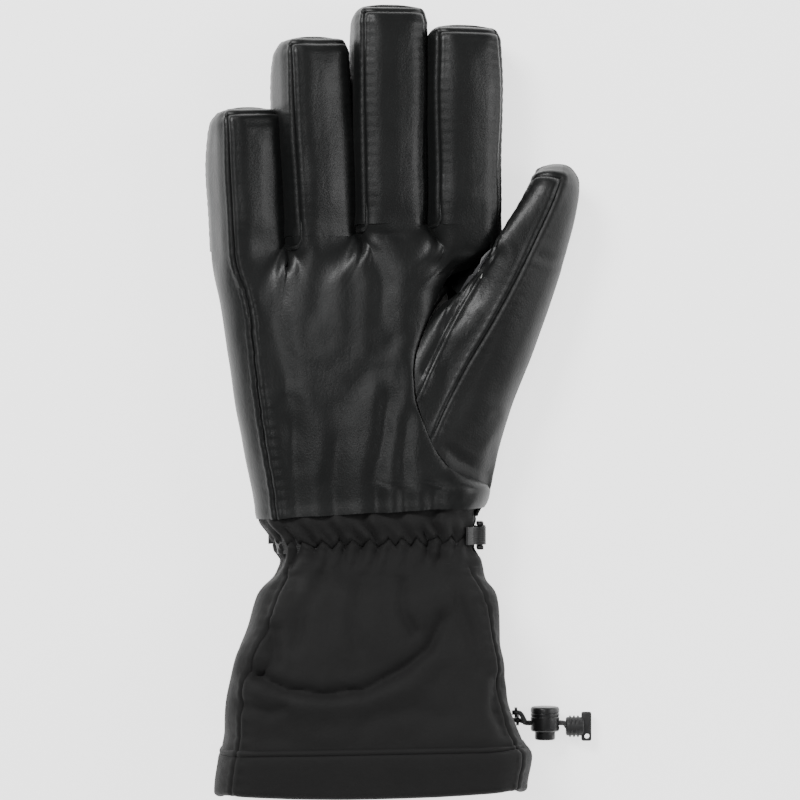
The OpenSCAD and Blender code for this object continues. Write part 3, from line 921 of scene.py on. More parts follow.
    def seam_lines(self) -> dict[int, list[tuple[float, float]]]:
        """Plan of the front panel's two seams near the base: 1 for the left one, 2 for the right."""
        points, fields = self.grid()
        found = {}
        for side in (1, 2):
            column = int(np.argmax(fields["side"] == side))
            rows = [int(np.argmin(np.abs(fields["travel"][column] - t))) for t in (20.0, 15.0, 11.0, 8.0, 5.5)]
            found[side] = [(float(points[column, r, 0]), float(points[column, r, 1])) for r in rows]
        return found

    def relief(self, points: Array, fields: dict[str, Array]) -> Array:
        """Height of the seams, puckers and soft folds over the grid."""
        on_face = (fields["side"] % 2 == 1)[:, None]
        gap, before = fields["gap"], fields["before"]
        inside = np.where(before >= 0, np.minimum(gap, before), -before)
        outside = np.where(before >= 0, gap, np.hypot(gap, before))
        distance = np.where(on_face, inside, outside)
        base_fade = smooth_step(-1.0, 9.0, fields["travel"])
        steady = np.zeros_like(base_fade)
        if self.name == "little":
            order = np.arange(len(fields["side"]))
            first = int(np.argmax(fields["side"] == 1))
            steady[order < first + int(np.sum(fields["side"] == 1)) // 2] = 1.0
        height = seam_profile(distance) * np.maximum(base_fade, steady) + palm_relief(points) * (1 - base_fade)
        height = height + seam_puckers(distance, fields["travel"] + 3.0 * self.roll) * base_fade
        folds = 0.35 * np.sin(fields["travel"] / 9.5 + self.roll) * smooth_step(8, 24, fields["travel"]) * on_face
        crown = 1.5 * np.sqrt(np.clip(np.minimum(gap, np.maximum(before, 0.0)) / 13.0, 0, 1)) * on_face
        return height + soft_relief(points) + folds + crown * smooth_step(0.0, 16.0, fields["travel"])

    def masks(self) -> dict[Panel, Array]:
        """Which cells each panel takes; the left strip runs over the tip."""
        sides, _, _ = self.columns()
        _, angle, _ = self.rows()
        past = (angle[:-1] >= self.fold_angle)[None] * np.ones(len(sides), dtype=bool)[:, None]
        side = sides[:, None] * np.ones(past.shape, dtype=int)
        face = (side % 2 == 1) & past
        return {
            Panel.FRONT: (side == 1) & ~past,
            Panel.BACK: (side == 3) & ~past,
            Panel.LEFT: ((side == 0) | (side == 2) | face),
        }


FINGERS = (
    Finger("little", -61.6, 28.0, 58.5, 62.0, 2.5, 27.0),
    Finger("ring", -32.4, 29.0, 82.5, 68.0, 2.8, 25.0),
    Finger("middle", -2.2, 29.5, 91.0, 73.0, 0.5, 14.0),
    Finger("index", 28.5, 29.5, 82.5, 73.0, 0.0, 15.0),
)


CUFF_CREASES = (
    ([(-57, -116), (-45, -121.5), (-30, -123.5), (-12, -121.5), (4, -113), (14, -104), (20, -92)], 1.9, 2.4),
    ([(-57, -122), (-45, -127), (-30, -129), (-12, -127.5), (6, -119), (18, -108)], -0.9, 4.0),
    ([(-49, -98), (-50, -110), (-57, -116)], 1.2, 2.4),
    ([(3.6, -78), (3.6, -90), (8, -97)], 1.3, 2.2),
    ([(-46, -76), (-52, -90), (-52, -104)], 1.1, 2.2),
    ([(-30, -76), (-38, -90), (-41, -104)], 0.9, 2.6),
    ([(24, -75), (31, -95), (35, -112)], 1.0, 2.8),
    ([(-14, -78), (-18, -92), (-16, -104)], 0.8, 3.0),
    ([(-62, -128), (-52, -131), (-46, -129)], 1.1, 2.2),
    ([(44, -118), (42, -131), (46, -140)], 0.9, 2.4),
    ([(-10, -134), (8, -130), (24, -133)], 0.5, 3.0),
)
CROTCHES = ((-47.0, 65.5), (-17.2, 72.0), (12.9, 74.5))
PALM_CREASES = (
    ([(-14, 70.0), (-5, 68.2), (3, 68.4), (10, 70.2)], 0.8, 1.8),
    ([(-10, 66), (-5, 48), (-5, 24)], 0.75, 3.8),
    ([(-33, 64), (-31, 48), (-32, 26)], 0.55, 4.2),
    ([(12, 60), (20, 54), (30, 54)], 0.7, 3.8),
    ([(-1, 10), (-4, -16), (-8, -34), (-7, -60)], 0.85, 3.4),
    ([(6, 0), (3, -26), (5, -60)], 0.7, 2.9),
    ([(-22, -6), (-26, -36), (-24, -60)], 0.6, 3.4),
    ([(-44, -4), (-42, -34), (-40, -60)], 0.55, 3.4),
    ([(20, -26), (16, -42), (18, -60)], 0.6, 2.8),
    ([(-54, 44), (-46, 8), (-40, -24)], 0.55, 4.4),
    ([(6, 34), (-8, 12), (-24, -4)], 0.4, 4.2),
)
_crotch_paths: list[list[tuple[float, float]]] = []


def crotch_paths() -> list[list[tuple[float, float]]]:
    """Plans of the turned edges that run down one finger, round the crotch and up the next."""
    if not _crotch_paths:
        seams = [finger.seam_lines() for finger in FINGERS]
        for n, (_, y) in enumerate(CROTCHES):
            down, up = seams[n][2], seams[n + 1][1][::-1]
            down = [q for q in down if q[1] > y + 4.5]
            up = [q for q in up if q[1] > y + 4.5]
            (left, _), (right, _) = down[-1], up[0]
            middle, half = (left + right) / 2, (right - left) / 2
            turn = np.radians(np.linspace(200, 340, 7))
            knots = down + [(middle + half * math.cos(a), y + 1.8 + (half + 0.4) * math.sin(a)) for a in turn] + up
            line = smooth_route([(a, b, 0.0) for a, b in knots], 60)
            _crotch_paths.append([(float(q[0]), float(q[1])) for q in line])
    return _crotch_paths


def palm_relief(points: Array) -> Array:
    """Crotch edges, creases and the hollow by the thumb, for whatever lies there.

    Args:
        points: Points of any grid of the glove, in millimetres.

    Returns:
        Height along the normal for the side that faces up.
    """
    x, y = points[..., 0], points[..., 1]
    top = smooth_step(13, 21, points[..., 2])
    height = np.zeros_like(x)
    for (crotch, y0), path in zip(CROTCHES, crotch_paths()):
        height = height + 0.35 * bell(path_distance(x, y, path) - 2.2, 1.6) * top
        crease = path_distance(x, y, [(crotch, y0 - 6), (crotch + 1.0, y0 - 34)])
        groove = 0.45 * bell(crease, 4.4) * smooth_step(y0 - 36, y0 - 16, y)
        height = height - groove * smooth_step(y0 - 4, y0 - 12, y) * top
    for path, depth, width in PALM_CREASES:
        away = path_distance(x, y, path)
        tail = np.minimum(np.hypot(x - path[0][0], y - path[0][1]), np.hypot(x - path[-1][0], y - path[-1][1]))
        fade = smooth_step(0.0, 13.0, tail)
        height = height - depth * fade * (bell(away, width) - 0.5 * bell(away - 2.0 * width, width)) * top
    hollow = np.exp(-((x - 27.0) ** 2 + (y - 51.0) ** 2) / (2 * 8.0**2))
    return height - 5.0 * hollow * top


LEFT_EDGE = curve_through(
    [(-75, -49.6), (-69.75, -50.5), (-59, -53), (-50, -57.5), (-39, -59.5), (-20, -63.5), (0, -67), (30, -71.5),
        (62, -75.8), (74, -76)]
)
RIGHT_EDGE = curve_through(
    [(-75, 34), (-69.75, 34), (-59, 33), (-50, 34), (-42, 38.6), (-38.9, 39.3), (-34.5, 30), (-30.5, 23.3), (-21, 16),
     (-13.7, 12.8), (-7, 10), (0, 8.1), (9.5, 7.3), (17, 8.0), (24, 10), (37, 16), (46, 22.5), (50, 27.5), (57, 35),
     (66, 42.6), (76, 43.3)]
)
RIGHT_HEIGHT = curve_through(
    [(-75, 17), (-50, 17), (-42, 16), (-38.9, 16.5), (-36, 24), (-32, 29), (-26, 31.6), (-15, 32.6), (0, 32.6),
        (20, 30.5),
     (34, 27), (46, 21), (52, 17.5), (57, 15.5), (66, 14.5), (76, 14.2)]
)
BACK_RIGHT_EDGE = curve_through(
    [(-75, 34), (-69.75, 34), (-59, 33), (-50, 34), (-42, 38.0), (-38.9, 38.6), (-30, 36.4), (0, 31.9), (30, 27.7),
        (45, 25.9),
     (47, 25.7), (51, 28.5), (57, 35), (66, 42.6), (76, 43.3)]
)
BACK_RIGHT_HEIGHT = curve_through(
    [(-75, 16), (-50, 16), (-38.9, 15.5), (-33, 8), (-27, 3.0), (-20, 1.0), (0, 0.6), (30, 0.6), (40, 1.2), (46, 4.0),
        (52, 9.5), (57, 13), (66, 14.2), (76, 14.2)]
)
TOP = curve_through([(-75, 31), (-50, 32.4), (-20, 33.6), (0, 33.6), (30, 32.2), (62, 29.5), (76, 29)])
BOTTOM = curve_through([(-75, 4), (-59, 3.6), (-50, 2.6), (-39, 1), (-20, 0.3), (76, 0.3)])
OUTER_SEAM = curve_through([(-75, 7.5), (-50, 8.5), (0, 10.5), (60, 12.0), (76, 12.0)])


def hand_section(y: float, front: bool, count: int = 260) -> tuple[Array, float]:
    """Dense outline of half the hand's section, from the back-left seam to its right boundary.

    Args:
        y: Where along the hand.
        front: The palm side, or the back of the hand.
        count: Points on the plateau.

    Returns:
        Points as X and Z, and for the palm side the arc length to the outer seam.
    """
    left, top, bottom = float(LEFT_EDGE(y)), float(TOP(y)), float(BOTTOM(y))
    r_top, r_bottom = 15.0, 11.0
    if front:
        end_x, end_z, reach = float(RIGHT_EDGE(y)), float(RIGHT_HEIGHT(y)), 13.0
        low = np.radians(np.linspace(225, 180, 24))
        high = np.radians(np.linspace(180, 90, 60))[1:]
        arc = [
            np.stack([left + r_bottom + r_bottom * np.cos(low), bottom + r_bottom + r_bottom * np.sin(low)], 1),
            np.stack([left + r_top + r_top * np.cos(high), top - r_top + r_top * np.sin(high)], 1),
        ]
        x = np.linspace(left + r_top, end_x, count)[1:]
        lift = 1.0 * np.sin(math.pi * np.linspace(0, 1, count)[1:]) ** 2
        level, sign = top, 1.0
    else:
        end_x, end_z, reach = float(BACK_RIGHT_EDGE(y)), float(BACK_RIGHT_HEIGHT(y)), 12.0
        low = np.radians(np.linspace(225, 270, 24))
        arc = [np.stack([left + r_bottom + r_bottom * np.cos(low), bottom + r_bottom + r_bottom * np.sin(low)], 1)]
        x = np.linspace(left + r_bottom, end_x, count)[1:]
        lift = np.zeros_like(x)
        level, sign = bottom, -1.0
    far = np.clip(1 - (end_x - x) / reach, 0, 1)
    drop = abs(level - end_z) * (1 - np.sqrt(np.maximum(0.0, 1 - far**2)))
    line = np.concatenate(arc + [np.stack([x, level + lift * (1 - far) - sign * drop], 1)])
    seam = 0.0
    if front:
        inset = float(OUTER_SEAM(y))
        travel = np.concatenate([[0.0], np.cumsum(np.linalg.norm(np.diff(line, axis=0), axis=1))])
        k = int(np.argmax((line[:, 0] > left + inset) & (line[:, 1] > bottom + 15)))
        seam = float(travel[k])
    return line, seam


@dataclass
class HandFace:
    """The palm side or the back of the hand, as one grid that joins the four finger stalls."""

    front: bool
    low: float = -50.0
    points: Array = field(init=False)
    seam_gap: Array = field(init=False)
    calm: Array = field(init=False)

    def edge_columns(self) -> tuple[Array, Array, int]:
        """Base-ring columns of the fingers that this face joins.

        Returns:
            Base points, the finger's direction at each, and the column of the outer seam.
        """
        points, directions, seam = [], [], 0
        for n, finger in enumerate(FINGERS):
            grid, fields = finger.grid()
            base = grid[:, 0]
            count = len(base)
            leftmost, rightmost = int(np.argmin(base[:, 0])), int(np.argmax(base[:, 0]))
            if n == 0:
                leftmost = 0
            if self.front:
                picks = list(range(leftmost, rightmost + 1))
                if n == 0:
                    seam = int(np.argmax(fields["side"] == 1))
            else:
                picks = [k % count for k in range(leftmost + count, rightmost - 1, -1)]
            lean = math.radians(finger.lean)
            for k in picks:
                points.append(base[k])
                directions.append((-math.sin(lean), math.cos(lean), 0.0))
        return np.array(points), np.array(directions), seam

    def build(self) -> None:
        """Work out the grid."""
        edge, direction, seam = self.edge_columns()
        travel = np.concatenate([[0.0], np.cumsum(np.linalg.norm(np.diff(edge, axis=0), axis=1))])
        blend = 0.62
        if self.front:
            rest = slice(seam, None)
            by_x = (edge[rest, 0] - edge[seam, 0]) / (edge[-1, 0] - edge[seam, 0])
            by_arc = (travel[rest] - travel[seam]) / (travel[-1] - travel[seam])
            share = np.maximum.accumulate(blend * by_x + (1 - blend) * by_arc)
            share = 0.85 * share + 0.15 * np.linspace(0, 1, len(share))
            side = travel[:seam] / travel[seam]
        else:
            by_x = (edge[:, 0] - edge[0, 0]) / (edge[-1, 0] - edge[0, 0])
            share = np.maximum.accumulate(blend * by_x + (1 - blend) * travel / travel[-1])
            share = 0.85 * share + 0.15 * np.linspace(0, 1, len(share))
        spacing = 1.55
        rows = int((74.0 - self.low) / spacing) + 1
        v = np.linspace(0, 1, rows)
        skew = 3.0 * (edge[:, 0] + 10.0) / 60.0 + 2.0 if self.front else np.zeros(len(edge))
        base_y = (self.low + np.clip(skew, -1.0, 6.0)) if self.low > -55 else np.full(len(edge), self.low)
        ys = base_y[:, None] + v[None] * (edge[:, 1] - base_y)[:, None]
        samples = np.linspace(self.low - 2.0, 75.0, 90)
        table = np.zeros((len(edge), len(samples), 2))
        for j, y in enumerate(samples):
            line, seam_at = hand_section(float(y), self.front)
            run = np.concatenate([[0.0], np.cumsum(np.linalg.norm(np.diff(line, axis=0), axis=1))])
            if self.front:
                want = np.concatenate([side * seam_at, seam_at + share * (run[-1] - seam_at)])
            else:
                want = share * run[-1]
            table[:, j, 0] = np.interp(want, run, line[:, 0])
            table[:, j, 1] = np.interp(want, run, line[:, 1])
        xs = np.zeros_like(ys)
        zs = np.zeros_like(ys)
        for i in range(len(edge)):
            xs[i] = np.interp(ys[i], samples, table[i, :, 0])
            zs[i] = np.interp(ys[i], samples, table[i, :, 1])
        smooth = np.stack([xs, ys, zs], axis=-1)
        back = ((ys - edge[:, 1:2]) / direction[:, 1:2])[..., None] * direction[:, None]
        fingers = edge[:, None] + back
        depth = np.clip((edge[:, 2].max() - edge[:, 2]) / 12.0, 0, 1) if self.front else np.zeros(len(edge))
        inner = (edge[:, 0] > -70) & (edge[:, 0] < 40)
        reach = 24.0 - 14.0 * (smooth_step(0.15, 0.8, depth) * inner)[:, None]
        weight = smooth_step(0.0, 1.0, 1 + (ys - edge[:, 1:2] + 0.7) / reach)[..., None] ** 1.2
        self.points = smooth * (1 - weight) + fingers * weight
        if self.front:
            below = smooth_step(-34.0, -20.0, ys - edge[:, 1:2]) * smooth_step(-66, -58, edge[:, :1])
            self.relax(below * smooth_step(34, 26, edge[:, :1]))
        crotch = 0.9 * (smooth_step(0.1, 0.6, depth) * inner)[:, None]
        self.calm = 1 - crotch * smooth_step(-16.0, -3.0, ys - edge[:, 1:2])
        steps = np.linalg.norm(np.diff(self.points, axis=0), axis=-1)
        arcs = np.concatenate([np.zeros((1, rows)), np.cumsum(steps, axis=0)])
        self.seam_gap = np.abs(arcs - arcs[seam : seam + 1]) if self.front else np.full(ys.shape, 99.0)

    def relax(self, strength: Array, rounds: int = 14) -> None:
        """Draw the leather taut between its edges, as far as `strength` says."""
        for _ in range(rounds):
            p = self.points
            around = (p[:-2, 1:-1] + p[2:, 1:-1] + p[1:-1, :-2] + p[1:-1, 2:]) / 4
            change = np.zeros_like(p)
            change[1:-1, 1:-1] = around - p[1:-1, 1:-1]
            change[..., 1] *= 0.3
            self.points = p + 0.7 * strength[..., None] * change

    def relief(self) -> Array:
        """Height of the seams, creases and soft folds over the face."""
        p, x, y = self.points, self.points[..., 0], self.points[..., 1]
        height = soft_relief(p)
        if not self.front:
            return height
        height = height + seam_profile(self.seam_gap) + seam_puckers(self.seam_gap, y)
        height = height + palm_relief(p)
        cup = np.exp(-(((x + 18) / 26) ** 2) - ((y - 8) / 38) ** 2)
        return (height - 1.6 * cup) * self.calm


THENAR_KNOTS = [(22.5, 46.0), (16, 37), (10, 24), (8.0, 17), (7.3, 9.5), (8.1, 0), (10, -7), (12.8, -13.7), (16, -21),
    (23.3, -30.5), (30, -34.5), (39.3, -38.9)]


WEB_KNOTS = [(24.8, 46), (34, 54.8), (46.6, 68), (53.4, 80.5), (58.5, 91.0)]
OUTER_KNOTS = [(39.3, -38.9), (42.5, -24), (49, -3), (57, 17), (66, 43), (74.3, 70), (77.0, 84), (77.2, 91.5)]
THUMB_TIP_KNOTS = [(58.5, 91.0), (62, 95.6), (67.5, 97.2), (73.5, 96.2), (77.2, 91.5)]
BACK_BASE_KNOTS = [(25.7, 46), (27.7, 30), (31.9, 0), (36.4, -30), (38.6, -38.9)]
THUMB_TIP_ROWS = np.array(
    [0.94, 0.947, 0.953, 0.958, 0.962, 0.965, 0.968, 0.972, 0.977, 0.983, 0.989, 0.994, 0.998, 1.0]
)


@dataclass
class ThumbStall:
    """The thumb with its base over the heel of the hand: a padded tube of three strips."""

    inner_seam: tuple[float, float] = (0.50, 0.055)
    outer_seam: tuple[float, float] = (0.675, 0.64)
    back_seam: float = 0.16
    mid: float = 15.2
    half: float = 15.0
    edge_roll: float = 13.0

    def spread(self, knots: Sequence[tuple[float, float]], at: Array) -> Array:
        """Points at fractions of the length of a smooth plan curve."""
        dense = smooth_route([(x, y, 0.0) for x, y in knots], 400)[:, :2]
        return np.stack([np.interp(at, np.linspace(0, 1, 400), dense[:, k]) for k in range(2)], axis=-1)

    def layout(self) -> tuple[Array, Array, Array]:
        """Column kinds: part (0 web wall, 1 front, 2 back), segment and fraction."""
        part, segment, fraction = [], [], []

        def add(kind: int, which: int, values: Sequence[float]) -> None:
            for value in values:
                part.append(kind)
                segment.append(which)
                fraction.append(value)

        add(0, 0, [0.25, 0.5, 0.75])
        add(1, 0, side_fractions(30.0))
        add(1, 1, side_fractions(16.0))
        add(1, 2, side_fractions(34.0) + [1.0])
        add(2, 0, side_fractions(48.0))
        add(2, 1, side_fractions(10.0) + [1.0])
        return np.array(part), np.array(segment), np.array(fraction)

    def across(self, v: Array, first: Array, second: Array) -> Array:
        """Fraction across the thumb, 0 at the web and 1 at the outer edge, for each column and row."""
        low, high = np.zeros_like(v), np.ones_like(v)
        fold = np.full_like(v, self.back_seam)
        bounds = {
            (1, 0): (low, first), (1, 1): (first, second), (1, 2): (second, high),
            (2, 0): (high, fold), (2, 1): (fold, low),
        }
        part, segment, fraction = self.layout()
        u = np.zeros((len(part), len(v)))
        for i, key in enumerate(zip(part.tolist(), segment.tolist())):
            if key in bounds:
                start, stop = bounds[key]
                u[i] = start + fraction[i] * (stop - start)
        return u

    def plan(self, u: Array, v: Array, base: Array, tip: Array, left: Array, right: Array) -> Array:
        """X and Y of points between four edge curves.

        Args:
            u: Fraction across each point.
            v: Fraction along each row.
            base: Points of the edge at the hand.
            tip: Points of the edge at the fingertip.
            left: Edge at the web, a point to a row.
            right: Outer edge, a point to a row.

        Returns:
            The plan, blended so that it meets all four edges.
        """
        at = np.linspace(0, 1, len(base))
        b = np.stack([np.interp(u, at, base[:, k]) for k in range(2)], axis=-1)
        t = np.stack([np.interp(u, at, tip[:, k]) for k in range(2)], axis=-1)
        vv, uw = v[None, :, None], u[..., None]
        c00, c10, c01, c11 = base[0], base[-1], tip[0], tip[-1]
        corner = (1 - uw) * (1 - vv) * c00 + uw * (1 - vv) * c10 + (1 - uw) * vv * c01 + uw * vv * c11
        return (1 - vv) * b + vv * t + (1 - uw) * left[None] + uw * right[None] - corner

    def seam_gap(self, u: Array, first: Array, second: Array, width: Array, to_tip: Array) -> Array:
        """Distance from each point to the nearest seam.

        Args:
            u: Fraction across each point.
            first: Fraction at which the front strip's inner seam lies, row by row.
            second: Fraction at which its outer seam lies, row by row.
            width: Width of the thumb, row by row.
            to_tip: Distance to the seam over the tip, row by row.

        Returns:
            The distances, large where there is no seam.
        """
        part, _, _ = self.layout()
        gap = np.full(u.shape, 99.0)
        face = part == 1
        near = np.minimum(np.abs(u[face] - first[None]) * width, np.abs(u[face] - second[None]) * width)
        strip = (u[face] >= first[None] - 1e-6) & (u[face] <= second[None] + 1e-6)
        over = np.where(strip, np.abs(to_tip), 99.0)
        past = np.hypot(np.where(strip, 0, near), to_tip)
        gap[face] = np.where(to_tip < 0, past, np.minimum(near, over))
        rear = part == 2
        gap[rear] = np.abs(u[rear] - self.back_seam) * width
        return gap

    def grid(self) -> tuple[Array, dict[str, Array]]:
        """Points of the stall before any relief.

        Returns:
            The grid, and its fields: seam distance, fraction along, distance from the web, part and segment.
        """
        part, segment, fraction = self.layout()
        v = np.concatenate([np.linspace(0, 0.93, 78), THUMB_TIP_ROWS])
        first = self.inner_seam[0] + (self.inner_seam[1] - self.inner_seam[0]) * smooth_step(-0.1, 1.05, v)
        second = self.outer_seam[0] + (self.outer_seam[1] - self.outer_seam[0]) * v
        u = self.across(v, first, second)
        cols, rows = u.shape
        left = self.spread(WEB_KNOTS, v)
        right = self.spread(OUTER_KNOTS, v)
        tip_at = np.linspace(0, 1, 60)
        tip = self.spread(THUMB_TIP_KNOTS, tip_at)
        bases = {1: self.spread(THENAR_KNOTS, tip_at), 2: self.spread(BACK_BASE_KNOTS, tip_at)}
        width = np.maximum(np.linalg.norm(right - left, axis=-1)[None], 18.0)
        run = float(np.sum(np.linalg.norm(np.diff((left + right) / 2, axis=0), axis=1)))
        roll0 = self.bulge(u * width)
        roll1 = self.bulge((1 - u) * width)
        end = self.bulge((1 - v)[None] * run * 1.25)
        fade = smooth_step(0.0, 0.26, v)[None]
        swell = 1.0 + 0.06 * np.sin(math.pi * v)[None]
        mixed = smooth_step(0.0, 0.22, v)[None]
        points = np.zeros((cols, rows, 3))
        for kind, sign, base_height in ((1, 1.0, RIGHT_HEIGHT), (2, -1.0, BACK_RIGHT_HEIGHT)):
            sel = part == kind
            points[sel, :, :2] = self.plan(u[sel], v, bases[kind], tip, left, right)
            r0 = 1 + (roll0[sel] - 1) * fade
            pillow = self.mid + sign * self.half * r0 * roll1[sel] * end * swell
            base_z = base_height(np.interp(u[sel, 0], tip_at, bases[kind][:, 1]))
            z = base_z[:, None] * (1 - mixed) + pillow * mixed
            points[sel, :, 2] = np.maximum(z, 0.3)
        front_first = int(np.nonzero(part == 1)[0][0])
        back_last = int(np.nonzero(part == 2)[0][-1])
        for k in np.nonzero(part == 0)[0]:
            points[k] = points[back_last] * (1 - fraction[k]) + points[front_first] * fraction[k]
        gap = self.seam_gap(u, first, second, width, (1 - v)[None] * run - 4.2)
        last = points[:, -1:].copy()
        away = last[..., :2] - np.array([67.8, 91.0])
        last[..., :2] += 0.5 * away / np.linalg.norm(away, axis=-1, keepdims=True)
        last[..., 2] = self.mid
        fields = {
            "gap": np.concatenate([gap, gap[:, -1:]], axis=1),
            "v": np.append(v, 1.0)[None] * np.ones((cols, 1)),
            "edge": np.concatenate([u * width, u[:, -1:] * width[:, -1:]], axis=1),
            "part": part,
            "segment": segment,
        }
        return np.concatenate([points, last], axis=1), fields

    def bulge(self, distance: Array) -> Array:
        """Quarter-round rise from an edge, which keeps a little height at the edge itself."""
        far = 1 - np.clip(distance / self.edge_roll, 0, 1)
        return np.maximum(np.sqrt(np.maximum(0, 1 - far**2)), 0.12)

    def relief(self, points: Array, fields: dict[str, Array]) -> Array:
        """Height of the seams, puckers and soft folds over the stall."""
        gap, v = fields["gap"], fields["v"]
        x, y = points[..., 0], points[..., 1]
        fade = smooth_step(0.0, 0.04, v)
        height = seam_profile(gap, 0.55, 1.15) * fade + seam_puckers(gap, y * 1.1, 4.4, 0.14) * fade
        height = height * smooth_step(0.4, 3.4, fields["edge"])
        top = smooth_step(14, 24, points[..., 2])
        hollow = np.exp(-((x - 27.0) ** 2 + (y - 51.0) ** 2) / (2 * 8.0**2))
        creases = (
            ([(22, 30), (34, 42), (44, 60)], 0.7, 2.6),
            ([(14, 12), (22, 26), (30, 34)], 0.45, 2.2),
            ([(26, -28), (34, -16), (42, -8)], 0.55, 2.2),
            ([(22, -22), (34, -30), (42, -33)], 0.45, 1.8),
            ([(60, 60), (68, 57), (74, 58)], 0.4, 1.6),
        )
        height = height + soft_relief(points) - 5.0 * hollow * top
        for path, depth, width in creases:
            away = path_distance(x, y, path)
            height = height - depth * (bell(away, width) - 0.5 * bell(away - 2 * width, width)) * top
        return height


def dressed(points: Array, height: Array, closed: bool, outward: Array, floor: float = 0.12) -> Array:
    """Move a grid along its normals by a relief, and keep it above the table.

    Args:
        points: The grid.
        height: Relief in millimetres.
        closed: Whether the grid closes round its columns.
        outward: Rough outward directions.
        floor: Lowest height that is left.

    Returns:
        The moved grid.
    """
    moved = points + grid_normals(points, closed, outward) * height[..., None]
    moved[..., 2] = np.maximum(moved[..., 2], floor)
    return moved


def inner_layer(surface: Array, outward: Array, depth: float) -> Array:
    """A coarser closed grid that follows a dressed surface from inside.

    Args:
        surface: The dressed outer grid, closed round its columns.
        outward: Rough outward directions.
        depth: Distance inwards in millimetres.

    Returns:
        The inner grid, smoothed.
    """
    moved = surface - grid_normals(surface, True, outward) * depth
    for _ in range(6):
        moved = (moved * 2 + np.roll(moved, 1, axis=0) + np.roll(moved, -1, axis=0)) / 4
        moved[:, 1:-1] = (moved[:, 1:-1] * 2 + moved[:, :-2] + moved[:, 2:]) / 4
    moved = moved[::3, ::2]
    moved[..., 2] = np.maximum(moved[..., 2], depth)
    return moved


# ---------------------------------------------------------------- gauntlet and wrist

CUFF_SECTIONS = (
    (-168.0, -74.5, 54.0, 0.0, 47.0, 16.0),
    (-164.4, -74.5, 54.0, 0.0, 47.0, 16.0),
    (-150.4, -73.0, 56.0, 0.0, 48.0, 16.0),
    (-146.0, -72.3, 53.5, 0.0, 48.0, 16.0),
    (-128.0, -70.0, 49.3, 0.0, 47.0, 15.0),
    (-110.0, -65.5, 47.5, 0.0, 45.0, 14.0),
    (-95.0, -58.5, 44.5, 1.0, 41.0, 13.0),
    (-82.0, -54.5, 40.5, 2.5, 37.0, 12.0),
    (-70.0, -50.5, 35.0, 4.0, 32.0, 12.0),
)
HAND_SECTIONS = (
    (-70.0, -50.5, 34.0, 4.0, 31.0, 12.0),
    (-59.0, -53.0, 33.0, 4.0, 31.0, 12.0),
    (-50.0, -57.5, 34.0, 3.0, 32.0, 12.0),
    (-39.0, -59.5, 39.5, 1.0, 33.0, 13.0),
    (-20.0, -63.5, 42.0, 0.0, 34.0, 14.0),
    (0.0, -67.0, 44.0, 0.0, 34.0, 14.0),
    (30.0, -71.0, 44.5, 0.0, 33.0, 12.0),
    (62.0, -75.5, 44.5, 0.0, 30.0, 10.0),
    (73.0, -75.5, 44.5, 0.0, 30.0, 10.0),
)
HEM_LINE = -145.2
LINING_ENDS = (-162.5, -70.25)
LINING_DEPTH = 4.6
CASING_ENDS = (-140, -128)
CASING_DEPTH = 3.3
ELASTIC_ENDS = (-66, -54)


def section_values(sections: Sequence[tuple[float, ...]], y: Array) -> list[Array]:
    """Left, right, bottom, top and corner radius along a body, smoothly interpolated."""
    ordered = sorted(sections)
    return [curve_through([(s[0], s[k]) for s in ordered])(y) for k in range(1, 6)]


def loft_loop(sections: Sequence[tuple[float, ...]], ys: Array, inset: float, columns: int = 24) -> Array:
    """Closed grid of rounded-box sections, for linings and wadding.

    Args:
        sections: Rows of y, left, right, bottom, top and corner radius.
        ys: Where the grid's rows are.
        inset: Distance inside the sections.
        columns: Columns on each of the four sides.

    Returns:
        The grid.
    """
    left, right, bottom, top, radius = section_values(sections, ys)
    half_w, half_h = (right - left) / 2 - inset, (top - bottom) / 2 - inset
    rows = []
    for side in range(4):
        f = np.linspace(0, 1, columns, endpoint=False)[:, None]
        x, z = box_side(side, f, half_w[None], half_h[None], np.maximum(radius - inset, 1.0)[None])
        rows.append(np.stack([x + (left + right)[None] / 2, np.broadcast_to(ys[None], x.shape),
            z + (top + bottom)[None] / 2], -1))
    return np.concatenate(rows)


def even_fractions(length: float, step: float) -> list[float]:
    """Fractions along a panel that crowd near its seams and are about one step apart between."""
    near = [g for g in SIDE_GAPS if g < 6.0]
    count = max(2, int((length - 12.0) / step))
    middle = list(np.linspace(6.0, length - 6.0, count))
    return [g / length for g in near] + [m / length for m in middle] + [1.0 - g / length for g in reversed(near)][:-1]


